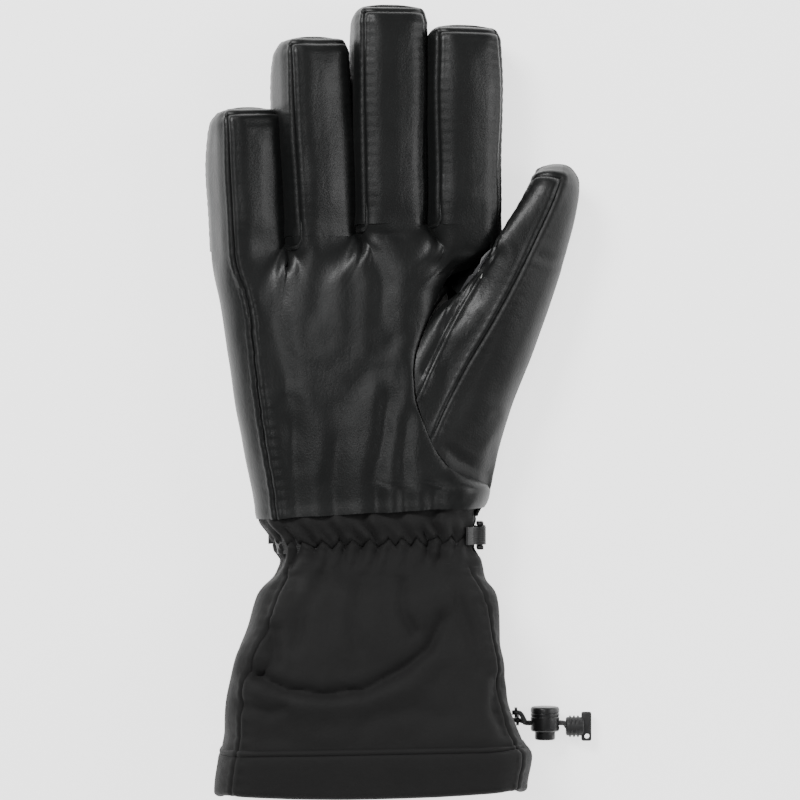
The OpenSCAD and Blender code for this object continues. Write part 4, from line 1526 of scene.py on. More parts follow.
@dataclass
class Sleeve:
    """The wrist and the gauntlet as one closed grid, cut into panels along their seams."""

    top: float = -39.0
    join: float = -70.0
    bottom: float = -164.4
    gather: float = -61.5
    pitch: float = 6.9
    columns: Array = field(init=False)
    girth: Array = field(init=False)
    rows: Array = field(init=False)
    points: Array = field(init=False)
    gap: Array = field(init=False)
    side: Array = field(init=False)

    def section(self, y: float) -> tuple[Array, list[float]]:
        """Dense closed outline at one place, clockwise from the back-left seam.

        Args:
            y: Where along the glove.

        Returns:
            Points as X and Z, and the arc lengths of the four seams and the end.
        """
        if y >= self.join:
            front, _ = hand_section(y, True, 200)
            back, _ = hand_section(y, False, 200)
            line = np.concatenate([front, back[::-1][1:]])
        else:
            left, right, bottom, top, radius = [float(v) for v in section_values(CUFF_SECTIONS, np.array(y))]
            half_w, half_h = (right - left) / 2, (top - bottom) / 2
            parts = []
            for side in range(4):
                f = np.linspace(0, 1, 110, endpoint=False)
                x, z = box_side(side, f, np.array(half_w), np.array(half_h), np.array(radius))
                crown = 0.0 if side != 1 else 1.3 * np.sin(math.pi * f) ** 2
                parts.append(np.stack([x + (left + right) / 2, z + (top + bottom) / 2 + crown], 1))
            line = np.concatenate(parts + [parts[0][:1]])
            if y > self.join - 14:
                front, _ = hand_section(self.join, True, 200)
                back, _ = hand_section(self.join, False, 200)
                other = np.concatenate([front, back[::-1][1:]])
                t = np.linspace(0, 1, 600)
                mix = float(smooth_step(self.join - 14, self.join, y))
                line = self.even(line, t) * (1 - mix) + self.even(other, t) * mix
        run = np.concatenate([[0.0], np.cumsum(np.linalg.norm(np.diff(line, axis=0), axis=1))])
        left, right = float(line[:, 0].min()), float(line[:, 0].max())
        mid = float(line[:, 1].min() + line[:, 1].max()) / 2
        upper, lower = line[:, 1] > mid, line[:, 1] < mid
        first = int(np.argmax(upper & (line[:, 0] > left + 6.5)))
        second = int(len(line) - 1 - np.argmax((upper & (line[:, 0] < right + 20) & (line[:, 0] > right - 4.2))[::-1]))
        inner = [k for k in range(first, len(line)) if upper[k] and line[k, 0] >= right - 4.2]
        second = inner[0] if inner else second
        outer = [k for k in range(second, len(line)) if lower[k] and line[k, 0] <= right - 5.0]
        third = outer[0] if outer else int(len(line) * 0.55)
        return line, [0.0, float(run[first]), float(run[second]), float(run[third]), float(run[-1])]

    @staticmethod
    def even(line: Array, t: Array) -> Array:
        """Resample an outline evenly by length."""
        run = np.concatenate([[0.0], np.cumsum(np.linalg.norm(np.diff(line, axis=0), axis=1))])
        return np.stack([np.interp(t * run[-1], run, line[:, k]) for k in range(2)], axis=1)

    def build(self) -> None:
        """Work out the grid, its seams and its rows."""
        fractions, sides = [], []
        for side, (length, step) in enumerate(((34.0, 1.6), (100.0, 0.95), (30.0, 1.6), (100.0, 1.6))):
            values = even_fractions(length, step)
            fractions += values
            sides += [side] * len(values)
        self.side = np.array(sides)
        self.columns = np.array(fractions)
        low = np.arange(self.bottom, -148.0, 1.5)
        hem = HEM_LINE + np.array([-3.2, -2.4, -1.7, -1.2, -0.8, -0.4, 0.0, 0.4, 0.8, 1.3, 2.0, 3.0, 4.2])
        mid = np.arange(HEM_LINE + 5.6, -82.0, 1.5)
        high = np.arange(-82.0, self.top + 0.1, 0.6)
        self.rows = np.concatenate([low[low < hem[0] - 0.7], hem, mid, high])
        self.points = np.zeros((len(sides), len(self.rows), 3))
        self.gap = np.zeros((len(sides), len(self.rows)))
        for j, y in enumerate(self.rows):
            line, anchors = self.section(float(y))
            run = np.concatenate([[0.0], np.cumsum(np.linalg.norm(np.diff(line, axis=0), axis=1))])
            spans = np.diff(anchors)
            want = np.array(anchors)[self.side] + self.columns * spans[self.side]
            self.points[:, j, 0] = np.interp(want, run, line[:, 0])
            self.points[:, j, 1] = y
            self.points[:, j, 2] = np.interp(want, run, line[:, 1])
            self.gap[:, j] = np.minimum(self.columns, 1 - self.columns) * spans[self.side]
        waist = int(np.argmin(np.abs(self.rows - self.gather)))
        loop = self.points[:, waist]
        steps = np.linalg.norm(np.diff(np.concatenate([loop, loop[:1]]), axis=0), axis=1)
        total = float(steps.sum())
        turns = round(total / self.pitch)
        self.girth = np.concatenate([[0.0], np.cumsum(steps)])[:-1] / total * turns
        x, y = self.points[..., 0], self.points[..., 1]
        tilt = 0.018 * (x + 10.0)
        curve = 2.6 * ((x + 10.0) / 64.0) ** 2 * smooth_step(25, 45, self.points[..., 2])
        lower = smooth_step(-118.0, -146.0, y)
        self.points[..., 1] = y + lower * (tilt + curve * smooth_step(-146, -164.4, y)) - 1.0 * lower
        self.points[..., 1] = np.maximum(self.points[..., 1], -165.6)

    def zigzag(self) -> Array:
        """Offset of the elastic's zig-zag stitching from its middle line, from -1 to 1."""
        jitter = 0.10 * np.sin(self.girth * 1.7) + 0.06 * np.sin(self.girth * 4.1 + 1.0)
        phase = (self.girth + jitter) % 1.0
        return 4.0 * np.abs(phase - 0.5) - 1.0

    def relief(self) -> Array:
        """Height of the gathers, folds and seams."""
        p, y = self.points, self.points[..., 1]
        turn = 2 * math.pi * self.girth[:, None]
        jitter = 0.5 * np.sin(0.31 * turn) + 0.4 * np.sin(0.13 * turn + 1.0)
        away = y - self.gather - 0.035 * (p[..., 0] + 10)
        slant = np.where(away > 0, 0.34, -0.34) * away
        uneven = 0.8 + 0.35 * np.sin(0.23 * turn + 2.0) + 0.2 * np.sin(0.57 * turn)
        wave = np.cos(turn + jitter + slant)
        near = np.exp(-((np.abs(away) / 8.5) ** 2.2))
        height = 1.3 * uneven * near * (wave - 0.1)
        line = away - 2.1 * self.zigzag()[:, None]
        height = height - 1.25 * bell(line, 0.85) + 0.3 * bell(np.abs(line) - 1.8, 0.9)
        height = height - 1.5 * bell(away, 6.0)
        rise = smooth_step(self.gather + 4, self.gather + 9, y) * smooth_step(-42, -50, y)
        height = height + rise * 1.2 * np.cos(turn * 0.5 + 0.8 * jitter + 0.1 * away) * uneven
        fall = smooth_step(self.gather - 3, self.gather - 8, y)
        folds = NOISE(p + 5.0, (7.5, 46.0, 9.0)) * np.exp(-np.maximum(0, -away - 6) / 20.0) * 2.6
        drape = NOISE(p + 50.0, (24.0, 60.0, 24.0)) * 2.6 + NOISE(p + 90.0, (13.0, 19.0, 13.0)) * 1.3
        lower = 1 - 0.75 * smooth_step(-140.0, -147.0, y)
        top = smooth_step(20, 34, p[..., 2])
        for path, depth, width in CUFF_CREASES:
            drape = drape - 1.45 * depth * bell(path_distance(p[..., 0], y, path), 1.2 * width) * top
        drape = drape - 2.0 * np.exp(-(((p[..., 0] + 18) / 26) ** 2) - ((y + 111) / 9) ** 2) * top
        crumple = NOISE(p + 120.0, (6.0, 8.0, 6.0)) * 0.4
        height = height + fall * (1.3 * folds + (1.15 * drape + crumple) * lower)
        below = smooth_step(-70.5, -74.0, y)
        height = height + below * (0.8 * seam_profile(self.gap, 0.45, 1.0) + seam_puckers(self.gap, y, 5.0, 0.3))
        puff = smooth_step(self.gather - 4, self.gather - 13, y) * (1 - smooth_step(-84.0, -104.0, y))
        height = height + 1.3 * puff
        sag = np.exp(-(((p[..., 0] + 8) / 30) ** 2)) * smooth_step(30, 40, p[..., 2]) * smooth_step(-90, -120, y)
        return height - 0.9 * sag

    def cut(self, points: Array, sides: Iterable[int], low: float, high: float) -> Patch:
        """Take some panels between two rows."""
        middle = (self.rows[:-1] + self.rows[1:]) / 2
        mask = np.isin(self.side, list(sides))[:, None] & ((middle > low) & (middle < high))[None]
        return Patch(points, mask, True, True)


SLEEVE_SHARES = {"outer": 0.14, "palm": 0.37, "inner": 0.12, "back": 0.37}
GATHER_FULLNESS = 1.15
FLARE_FULLNESS = 1.05
HAND_LINING_GIRTH = 220.0
STALL_LINING_GIRTH = 84.0
THUMB_LINING = (90.0, 105.0)
STALL_DOME = 9.0
HEM_TURN_IN = 15.0


def mean_girth(sections: Sequence[tuple[float, ...]], low: float, high: float, inset: float = 0.0) -> float:
    """Mean way round the sleeve's outline between two places.

    Args:
        sections: Outline table of the cuff or the wrist.
        low: Start, along the glove.
        high: End, along the glove.
        inset: How far inside the outline the cloth lies.

    Returns:
        The girth, in millimetres.
    """
    left, right, bottom, top, radius = section_values(sections, np.linspace(low, high, 24))
    girth = 2 * (right - left) + 2 * (top - bottom) - (8 - 2 * math.pi) * radius
    return float(np.mean(girth)) - 2 * math.pi * inset


def declare_cloth(piece: bpy.types.Object, width: float, length: float, held: str) -> None:
    """Convert the flat size a cloth piece was cut to from millimetres to metres, and drop the result."""
    width * MM
    length * MM


# ---------------------------------------------------------------- operator modelling


class Bench:
    """Hard parts made by operators, with sizes in millimetres."""

    @staticmethod
    def settle(name: str) -> bpy.types.Object:
        """Apply the place of the active object, and name it and its mesh."""
        piece = bpy.context.active_object
        bpy.ops.object.transform_apply(location=True, rotation=True, scale=True)
        piece.name = name
        piece.data.name = name
        return piece

    def box(self, name: str, low: Sequence[float], high: Sequence[float]) -> bpy.types.Object:
        """A box between two corners."""
        bpy.ops.object.select_all(action="DESELECT")
        middle = [(a + b) / 2 * MM for a, b in zip(low, high)]
        bpy.ops.mesh.primitive_cube_add(size=1.0, location=middle)
        bpy.context.active_object.scale = [(b - a) * MM for a, b in zip(low, high)]
        return self.settle(name)

    def rod(
        self, name: str, radius: float, start: Sequence[float], end: Sequence[float], sides: int = 40
    ) -> bpy.types.Object:
        """A round rod between two points."""
        bpy.ops.object.select_all(action="DESELECT")
        a, b = np.array(start, dtype=float), np.array(end, dtype=float)
        run = b - a
        length = float(np.linalg.norm(run))
        tilt = math.acos(run[2] / length)
        spin = math.atan2(run[1], run[0])
        bpy.ops.mesh.primitive_cylinder_add(
            vertices=sides, radius=radius * MM, depth=length * MM, location=tuple((a + b) / 2 * MM),
            rotation=(0.0, tilt, spin)
        )
        return self.settle(name)

    def ring(
        self, name: str, major: float, minor: float, centre: Sequence[float], rotation: Sequence[float]
    ) -> bpy.types.Object:
        """A round-sectioned ring."""
        bpy.ops.object.select_all(action="DESELECT")
        bpy.ops.mesh.primitive_torus_add(
            major_radius=major * MM, minor_radius=minor * MM, major_segments=48, minor_segments=16,
            location=[c * MM for c in centre], rotation=rotation,
        )
        return self.settle(name)

    def bevel(self, piece: bpy.types.Object, width: float, segments: int = 3, angle: float = 40.0) -> bpy.types.Object:
        """Round a piece's sharp edges."""
        soften = piece.modifiers.new("soften", "BEVEL")
        soften.width = width * MM
        soften.segments = segments
        soften.limit_method = "ANGLE"
        soften.angle_limit = math.radians(angle)
        apply_all(piece)
        return piece

    def combine(self, piece: bpy.types.Object, others: Iterable[bpy.types.Object], how: str) -> bpy.types.Object:
        """Union with or cut away other shapes, which are used up.

        Args:
            piece: The piece to change.
            others: The shapes.
            how: UNION or DIFFERENCE.

        Returns:
            The piece.
        """
        for other in others:
            joint = piece.modifiers.new("combine", "BOOLEAN")
            joint.operation = how
            joint.solver = "EXACT"
            joint.object = other
            apply_all(piece)
            bpy.data.objects.remove(other, do_unlink=True)
        return piece

    def band(
        self, name: str, route: Sequence[tuple[float, float]], y_low: float, y_high: float, thickness: float,
        count: int = 60
    ) -> bpy.types.Object:
        """A strip of webbing that follows a route in X and Z and is as wide as it runs in Y."""
        line = smooth_route([(x, 0.0, z) for x, z in route], count)
        ys = np.concatenate([[y_low, y_low + 0.25], np.linspace(y_low + 0.8, y_high - 0.8, 9), [y_high - 0.25, y_high]])
        points = np.repeat(line[:, None], len(ys), axis=1)
        points[..., 1] = ys[None]
        piece = sewn_piece(name, [Patch(points, all_cells(points, False))], 0.0)
        wall = piece.modifiers.new("wall", "SOLIDIFY")
        wall.thickness = thickness * MM
        wall.offset = 0.0
        apply_all(piece)
        return self.bevel(piece, 0.22, 2, 60)


# ---------------------------------------------------------------- sub-assemblies


@dataclass
class Workshop:
    """What every sub-assembly is made with."""

    wardrobe: Wardrobe
    bench: Bench = field(default_factory=Bench)
    made: list[str] = field(default_factory=list)

    def place(
        self,
        piece: bpy.types.Object,
        finish: Finish,
        body: str,
        replaces: Sequence[str] = (),
        bend: tuple[str, Sequence[float], Sequence[float]] | None = None,
    ) -> bpy.types.Object:
        """Dress a piece, parent it to the empty of the body that moves it or bake its place into its mesh, hide the CAD
        nodes that it stands for, and log it.

        Args:
            piece: The piece.
            finish: Its finish.
            body: The body that it follows.
            replaces: CAD nodes that it stands for.
            bend: For a piece that crosses a joint, the second body and where the bend starts and ends; no bend is set
                up, and the piece is left without a parent, with its place baked into its mesh.

        Returns:
            The piece.
        """
        self.wardrobe.dress(piece, finish)
        if bend:
            tuple(v * MM for v in bend[1])
            tuple(v * MM for v in bend[2])
            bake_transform(piece)
        else:
            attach(piece, body)
        if replaces:
            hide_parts(*replaces)
        self.made.append(piece.name)
        LOG.info("%s: %d faces, follows %s", piece.name, len(piece.data.polygons), body)
        return piece

    def stitches(
        self, name: str, points: Array, normals: Array, pitch: float, length: float, radius: float
    ) -> bpy.types.Object:
        """A row of separate stitches along a line.

        Args:
            name: Name of the piece.
            points: Points along the line, on the surface.
            normals: The surface's normal at each point.
            pitch: Distance from one stitch to the next.
            length: Length of a stitch.
            radius: Half its thickness.

        Returns:
            One object with every stitch.
        """
        run = np.concatenate([[0.0], np.cumsum(np.linalg.norm(np.diff(points, axis=0), axis=1))])
        mesh = bpy.data.meshes.new(name)
        build = bmesh.new()

        def along(values: Array, distance: float) -> Array:
            """Value of a field of the line at a distance along it."""
            return np.array([np.interp(distance, run, values[:, k]) for k in range(3)])

        for at in np.arange(pitch / 2, run[-1] - pitch / 2, pitch):
            normal = along(normals, at)
            rings = []
            for f in (-0.5, -0.28, 0.0, 0.28, 0.5):
                middle = along(points, at + f * length)
                ahead = along(points, at + (f * length + 0.1)) - middle
                ahead /= max(float(np.linalg.norm(ahead)), 1e-9)
                side = np.cross(ahead, normal)
                size = radius * math.sqrt(max(0.04, 1 - (2 * f) ** 2))
                lift = normal * (0.45 * size - 0.5 * radius * (2 * f) ** 2)
                ring = []
                for k in range(6):
                    a = math.pi * k / 3
                    spoke = math.cos(a) * side + 0.8 * math.sin(a) * normal
                    ring.append(build.verts.new((middle + lift + size * spoke) * MM))
                rings.append(ring)
            for one, two in zip(rings[:-1], rings[1:]):
                for k in range(6):
                    build.faces.new((one[k], one[(k + 1) % 6], two[(k + 1) % 6], two[k]))
            build.faces.new(rings[0][::-1])
            build.faces.new(rings[-1])
        bmesh.ops.recalc_face_normals(build, faces=build.faces)
        build.to_mesh(mesh)
        build.free()
        piece = bpy.data.objects.new(name, mesh)
        bpy.context.collection.objects.link(piece)
        finish_mesh(piece)
        return piece


@dataclass
class Drawcord:
    """The hem's elastic cord with its free ends, cord lock and pull."""

    shop: Workshop
    diameter: float = 2.0
    upper: tuple[tuple[float, float, float], ...] = (
        (50, -134.2, 9.6), (53, -134.2, 9.6), (54.2, -135.4, 9), (55.4, -137.6, 7.8), (56.6, -138.9, 6.8),
        (71.6, -138.9, 6.8), (73.2, -139.2, 5.6), (75, -139.8, 5.2), (78, -139.9, 5.2),
    )
    lower: tuple[tuple[float, float, float], ...] = (
        (50, -137.8, 5.4), (53, -137.8, 5.4), (54.2, -138.1, 5.2), (55.4, -138.6, 4.8), (56.6, -138.9, 4.6),
        (71.6, -138.9, 4.6), (73.2, -140.4, 3.4), (75, -141.1, 3), (78, -141.2, 3),
    )

    def pull(self) -> bpy.types.Object:
        """The moulded pull: a ribbed sleeve with a cross plate and a lanyard hole."""
        b = self.shop.bench
        sleeve = b.bevel(b.rod("cord_pull_grip", 4.0, (73.2, -140.5, 4.15), (80.8, -140.5, 4.15)), 0.7)
        plate = b.bevel(b.box("pull_plate", (79.8, -146.7, 2.4), (84.1, -134.3, 5.7)), 0.8)
        ribs = [b.rod("pull_rib", 4.6, (74.6 + 1.7 * k, -140.5, 4.15),
            (75.3 + 1.7 * k, -140.5, 4.15)) for k in range(3)]
        cuts = [b.box("pull_flat_top", (73, -146, 8.1), (80, -134, 12)),
            b.box("pull_flat_low", (73, -146, -4), (80, -134, 0.02))]
        b.combine(sleeve, [plate] + ribs, "UNION")
        b.combine(sleeve, cuts, "DIFFERENCE")
        b.combine(sleeve, [b.box("pull_throat", (72.0, -142.6, 1.8), (79.3, -138.4, 6.7)),
            b.rod("pull_hole", 1.1, (82.2, -144.7, 0), (82.2, -144.7, 9))], "DIFFERENCE")
        b.bevel(sleeve, 0.18, 2, 35)
        finish_mesh(sleeve, 35)
        return self.shop.place(sleeve, Finish.RUBBER, "gauntlet", ["cord_pull"])

    def lock(self) -> list[bpy.types.Object]:
        """The cord lock: barrel, sprung button and spring."""
        b = self.shop.bench
        axis = (64.2, 6.2)
        barrel = b.rod("cord_lock_body", 6.15, (axis[0], -142.5, axis[1]), (axis[0], -131.9, axis[1]), 64)
        b.bevel(barrel, 1.1, 4)
        grooves = [b.ring("lock_groove", 6.35, 0.42, (axis[0], -134.6 - 1.5 * k, axis[1]),
            (math.pi / 2, 0, 0)) for k in range(2)]
        b.combine(barrel, grooves, "DIFFERENCE")
        b.combine(barrel, [b.rod("lock_bore", 4.7, (axis[0], -144, axis[1]), (axis[0], -133.0, axis[1]), 48)],
            "DIFFERENCE")
        slot = b.box("lock_slot", (50, -140.35, 3.25), (80, -137.45, 8.15))
        b.bevel(slot, 0.8, 3)
        b.combine(barrel, [slot], "DIFFERENCE")
        finish_mesh(barrel, 35)
        self.shop.place(barrel, Finish.PLASTIC, "cord_lock", ["cord_lock_barrel"])
        button = b.rod("cord_lock_plunger", 4.35, (axis[0], -146.1, axis[1]), (axis[0], -136.5, axis[1]), 48)
        b.bevel(button, 0.7, 3)
        dish = b.ring("button_dish", 2.4, 0.5, (axis[0], -146.2, axis[1]), (math.pi / 2, 0, 0))
        slot = b.box("button_slot", (50, -142.75, 3.25), (80, -137.45, 8.15))
        b.combine(button, [dish, slot], "DIFFERENCE")
        finish_mesh(button, 35)
        self.shop.place(button, Finish.PLASTIC, "lock_button", ["cord_lock_button"])
        self.shop.wardrobe.dress_node("cord_lock_spring", Finish.STEEL)
        return [barrel, button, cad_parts["cord_lock_spring"]]

    def make(self) -> None:
        """Build the cords and everything that is on them."""
        pull = self.pull()
        lock = self.lock()
        for name, route, length, parts in (
            ("drawcord_end_upper", self.upper, 0.0315, [pull, *lock]),
            ("drawcord_end_lower", self.lower, 0.030, [pull]),
        ):
            line = smooth_route(route, 40)
            cord = tube_piece(name, line, self.diameter / 2, 14)
            node = "drawcord_upper_strand" if "upper" in name else "drawcord_lower_strand"
            self.shop.place(cord, Finish.CORD, "gauntlet", [node])
            tuple(v * MM for v in route[0])


@dataclass
class Gauntlet:
    """The nylon cuff with its hem, the gathered wrist, the lining and the hidden casing."""

    shop: Workshop
    sleeve: Sleeve
    surface: Array = field(init=False)

    def outward(self) -> Array:
        """Rough outward directions of the sleeve's grid."""
        rough = self.sleeve.points - self.sleeve.points.mean(axis=0, keepdims=True)
        rough[..., 1] = 0
        return rough

    def make(self) -> None:
        """Build every sewn piece of the gauntlet and the wrist."""
        s = self.sleeve
        self.surface = dressed(s.points, s.relief(), True, self.outward(), 0.1)
        y = self.surface[..., 1]
        tuck = 1.6 * smooth_step(-53.0, -47.0, y)
        leather_gap = grid_normals(self.surface, True, self.outward()) * tuck[..., None]
        outer = self.surface - leather_gap
        outer[..., 2] = np.maximum(outer[..., 2], 0.9 * smooth_step(-56, -50, y) + 0.1)
        bend = ("hand", (0.0, -95.0, 33.0), (0.0, -70.2, 33.0))
        for name, side, part, node in (
            ("cuff_palm", 1, "palm", "cuff_palm_panel"),
            ("cuff_back", 3, "back", "cuff_back_panel"),
            ("cuff_gusset_outer", 0, "outer", "cuff_outer_gusset"),
            ("cuff_gusset_inner", 2, "inner", "cuff_inner_gusset"),
        ):
            piece = sewn_piece(name, [s.cut(outer, (side,), HEM_LINE - 1.0, s.join)], 0.7)
            self.shop.place(piece, Finish.NYLON, "gauntlet", [node], bend)
            share = SLEEVE_SHARES[part] * FLARE_FULLNESS
            declare_cloth(piece, share * mean_girth(CUFF_SECTIONS, HEM_LINE, s.join), s.join - HEM_LINE, "gathered")
        for name, sides, node in (("wrist_gathers", (0, 1, 2), "wrist_gather"),
            ("wrist_back", (3,), "wrist_back_panel")):
            piece = sewn_piece(name, [s.cut(outer, sides, s.join, 0.0)], 0.7)
            self.shop.place(piece, Finish.NYLON, "hand", [node])
            share = sum(list(SLEEVE_SHARES.values())[side] for side in sides) * GATHER_FULLNESS
            declare_cloth(piece, share * mean_girth(HAND_SECTIONS, s.join, s.top), s.top - s.join, "gathered")
        self.hem()
        self.hidden(bend)

    def hem(self) -> None:
        """The doubled hem band, folded in at the mouth, with its row of stitches."""
        s = self.sleeve
        rows = np.nonzero(s.rows <= HEM_LINE + 0.01)[0][::-1]
        outer = self.surface[:, rows]
        normal = grid_normals(self.surface, True, self.outward())[:, rows]
        lift = 0.75 * smooth_step(HEM_LINE + 0.2, HEM_LINE - 1.2, s.rows[rows])
        seam = -1.0 * bell(s.rows[rows] - HEM_LINE - 0.1, 0.7) - 0.8 * bell(s.rows[rows] - HEM_LINE + 2.4, 0.7)
        outside = outer + normal * (lift + seam + 0.25)[None, :, None]
        edge = outside[:, -1]
        inward = normal[:, -1].copy()
        inward[:, 1] = 0
        inward /= np.linalg.norm(inward, axis=1, keepdims=True)
        turned = []
        for angle in (25, 50, 75, 90, 105, 130, 155, 180):
            a = math.radians(angle)
            turned.append(edge - inward * 2.1 * (1 - math.cos(a)) + np.array([0, -1.0, 0]) * 1.3 * math.sin(a))
        inside = [turned[-1] + np.array([0, 1.0, 0]) * d - inward * 0.02 * d for d in (2, 4, 7, 10, 13)]
        grid = np.concatenate([outside, np.stack(turned, 1), np.stack(inside, 1)], axis=1)
        grid[..., 1] = np.maximum(grid[..., 1], -168.0)
        grid[..., 2] = np.clip(grid[..., 2], 0.12, None)
        patch = Patch(grid, all_cells(grid, True), True, False)
        piece = sewn_piece("hem_fold", [patch], 0.7)
        self.shop.place(piece, Finish.NYLON, "gauntlet", ["hem_band"])
        drop = HEM_LINE - s.bottom
        declare_cloth(piece, mean_girth(CUFF_SECTIONS, s.bottom, HEM_LINE), drop + HEM_TURN_IN, "folded")
        at = int(np.argmin(np.abs(s.rows[rows] - (HEM_LINE - 2.4))))
        order = list(range(len(s.side))) + [0]
        thread = self.shop.stitches("hem_stitching", outside[order, at], normal[order, at], 3.2, 2.3, 0.40)
        self.shop.place(thread, Finish.WEBBING, "gauntlet")

    def hidden(self, bend: tuple[str, Sequence[float], Sequence[float]]) -> None:
        """Lining, drawcord casing, hem run and wrist elastic."""
        grid = loft_loop(CUFF_SECTIONS, np.linspace(*LINING_ENDS, 60), LINING_DEPTH, 30)
        rumple = (NOISE(grid + 60, 14.0) * 0.5)[..., None]
        grid = grid + grid_normals(grid, True, grid - grid.mean(axis=0, keepdims=True)) * rumple
        patch = Patch(grid, all_cells(grid, True), True)
        lining = sewn_piece("cuff_fleece", [patch], 1.0)
        self.shop.place(lining, Finish.FLEECE, "gauntlet", ["cuff_lining"], bend)
        girth = mean_girth(CUFF_SECTIONS, *LINING_ENDS, LINING_DEPTH)
        declare_cloth(lining, girth, LINING_ENDS[1] - LINING_ENDS[0], "laid")
        grid = loft_loop(CUFF_SECTIONS, np.linspace(*CASING_ENDS, 10), CASING_DEPTH, 30)
        patch = Patch(grid, all_cells(grid, True), True)
        casing = sewn_piece("cord_casing", [patch], 0.4)
        self.shop.place(casing, Finish.NYLON, "gauntlet", ["drawcord_casing"])
        girth = mean_girth(CUFF_SECTIONS, *CASING_ENDS, CASING_DEPTH)
        declare_cloth(casing, girth, CASING_ENDS[1] - CASING_ENDS[0], "laid")
        ring = loft_loop(CUFF_SECTIONS, np.array([-134.0, -133.9]), 2.05, 30)[:, 0]
        run = tube_piece("drawcord_round_hem", np.concatenate([ring[52:], ring[:51]]), 0.95, 10)
        self.shop.place(run, Finish.CORD, "gauntlet", ["drawcord_hem_run"])
        grid = loft_loop(HAND_SECTIONS, np.linspace(*ELASTIC_ENDS, 14), 1.6, 30)
        elastic = sewn_piece("wrist_elastic_band", [Patch(grid, all_cells(grid, True), True)], 0.7)
        self.shop.place(elastic, Finish.WEBBING, "hand", ["wrist_elastic"])


@dataclass
class WristBuckle:
    """The ladder lock at the wrist with its webbing."""

    shop: Workshop
    lock_y: float = -58.4

    def make(self) -> None:
        """Build the lock, the threaded webbing, the tab and the wrist strap."""
        b = self.shop.bench
        low, high = self.lock_y - 5.95, self.lock_y + 5.95
        lock = b.bevel(b.box("ladder_buckle", (34.75, low, 7.6), (37.65, low + 1.8, 22.4)), 0.55)
        other = b.bevel(b.box("buckle_rail", (34.75, high - 1.8, 7.6), (37.65, high, 22.4)), 0.55)
        bars = [b.rod("buckle_bar", 1.08, (36.2, low + 0.6, z), (36.2, high - 0.6, z), 28) for z in (21.0, 14.5, 9.0)]
        b.combine(lock, [other] + bars, "UNION")
        b.bevel(lock, 0.15, 2, 45)
        finish_mesh(lock, 40)
        self.shop.place(lock, Finish.PLASTIC, "wrist_buckle", ["ladder_lock"])
        loop = b.band(
            "webbing_end", [(34.3, 7.1), (34.3, 11), (34.35, 14.9), (34.9, 16.1), (36.2, 16.45), (37.5, 16.1),
                (38.05, 14.9), (38.1, 10), (38.1, 2.1)],
            -62.4, -54.4, 1.15,
        )
        finish_mesh(loop, 50)
        self.shop.place(loop, Finish.WEBBING, "wrist_buckle", ["strap_loop"])
        arc = [
            (21 + 13.3 * math.cos(math.radians(a)), 19 + 13.3 * math.sin(math.radians(a)))
            for a in range(44, 14, -6)
        ]
        turn = [
            (36.2 + 1.95 * math.cos(math.radians(a)), 21 + 1.95 * math.sin(math.radians(a)))
            for a in range(120, -215, -25)
        ]
        tab = b.band("buckle_webbing_tab", arc[:-1] + turn, -62.1, -54.7, 1.0, 90)
        finish_mesh(tab, 50)
        self.shop.place(tab, Finish.WEBBING, "hand", ["buckle_tab"])
        line = [(-53.4, 9.0), (-52.6, 6.6), (-50.4, 4.6), (-48.0, 3.5), (-44.0, 2.75), (-30, 2.6), (-10, 2.6),
            (10, 2.6), (20, 2.75), (26.0, 3.9), (30.4, 6.2)]
        strap = b.band("wrist_webbing", line, -62.4, -54.4, 1.1, 110)
        finish_mesh(strap, 50)
        self.shop.place(strap, Finish.WEBBING, "hand", ["wrist_strap"])


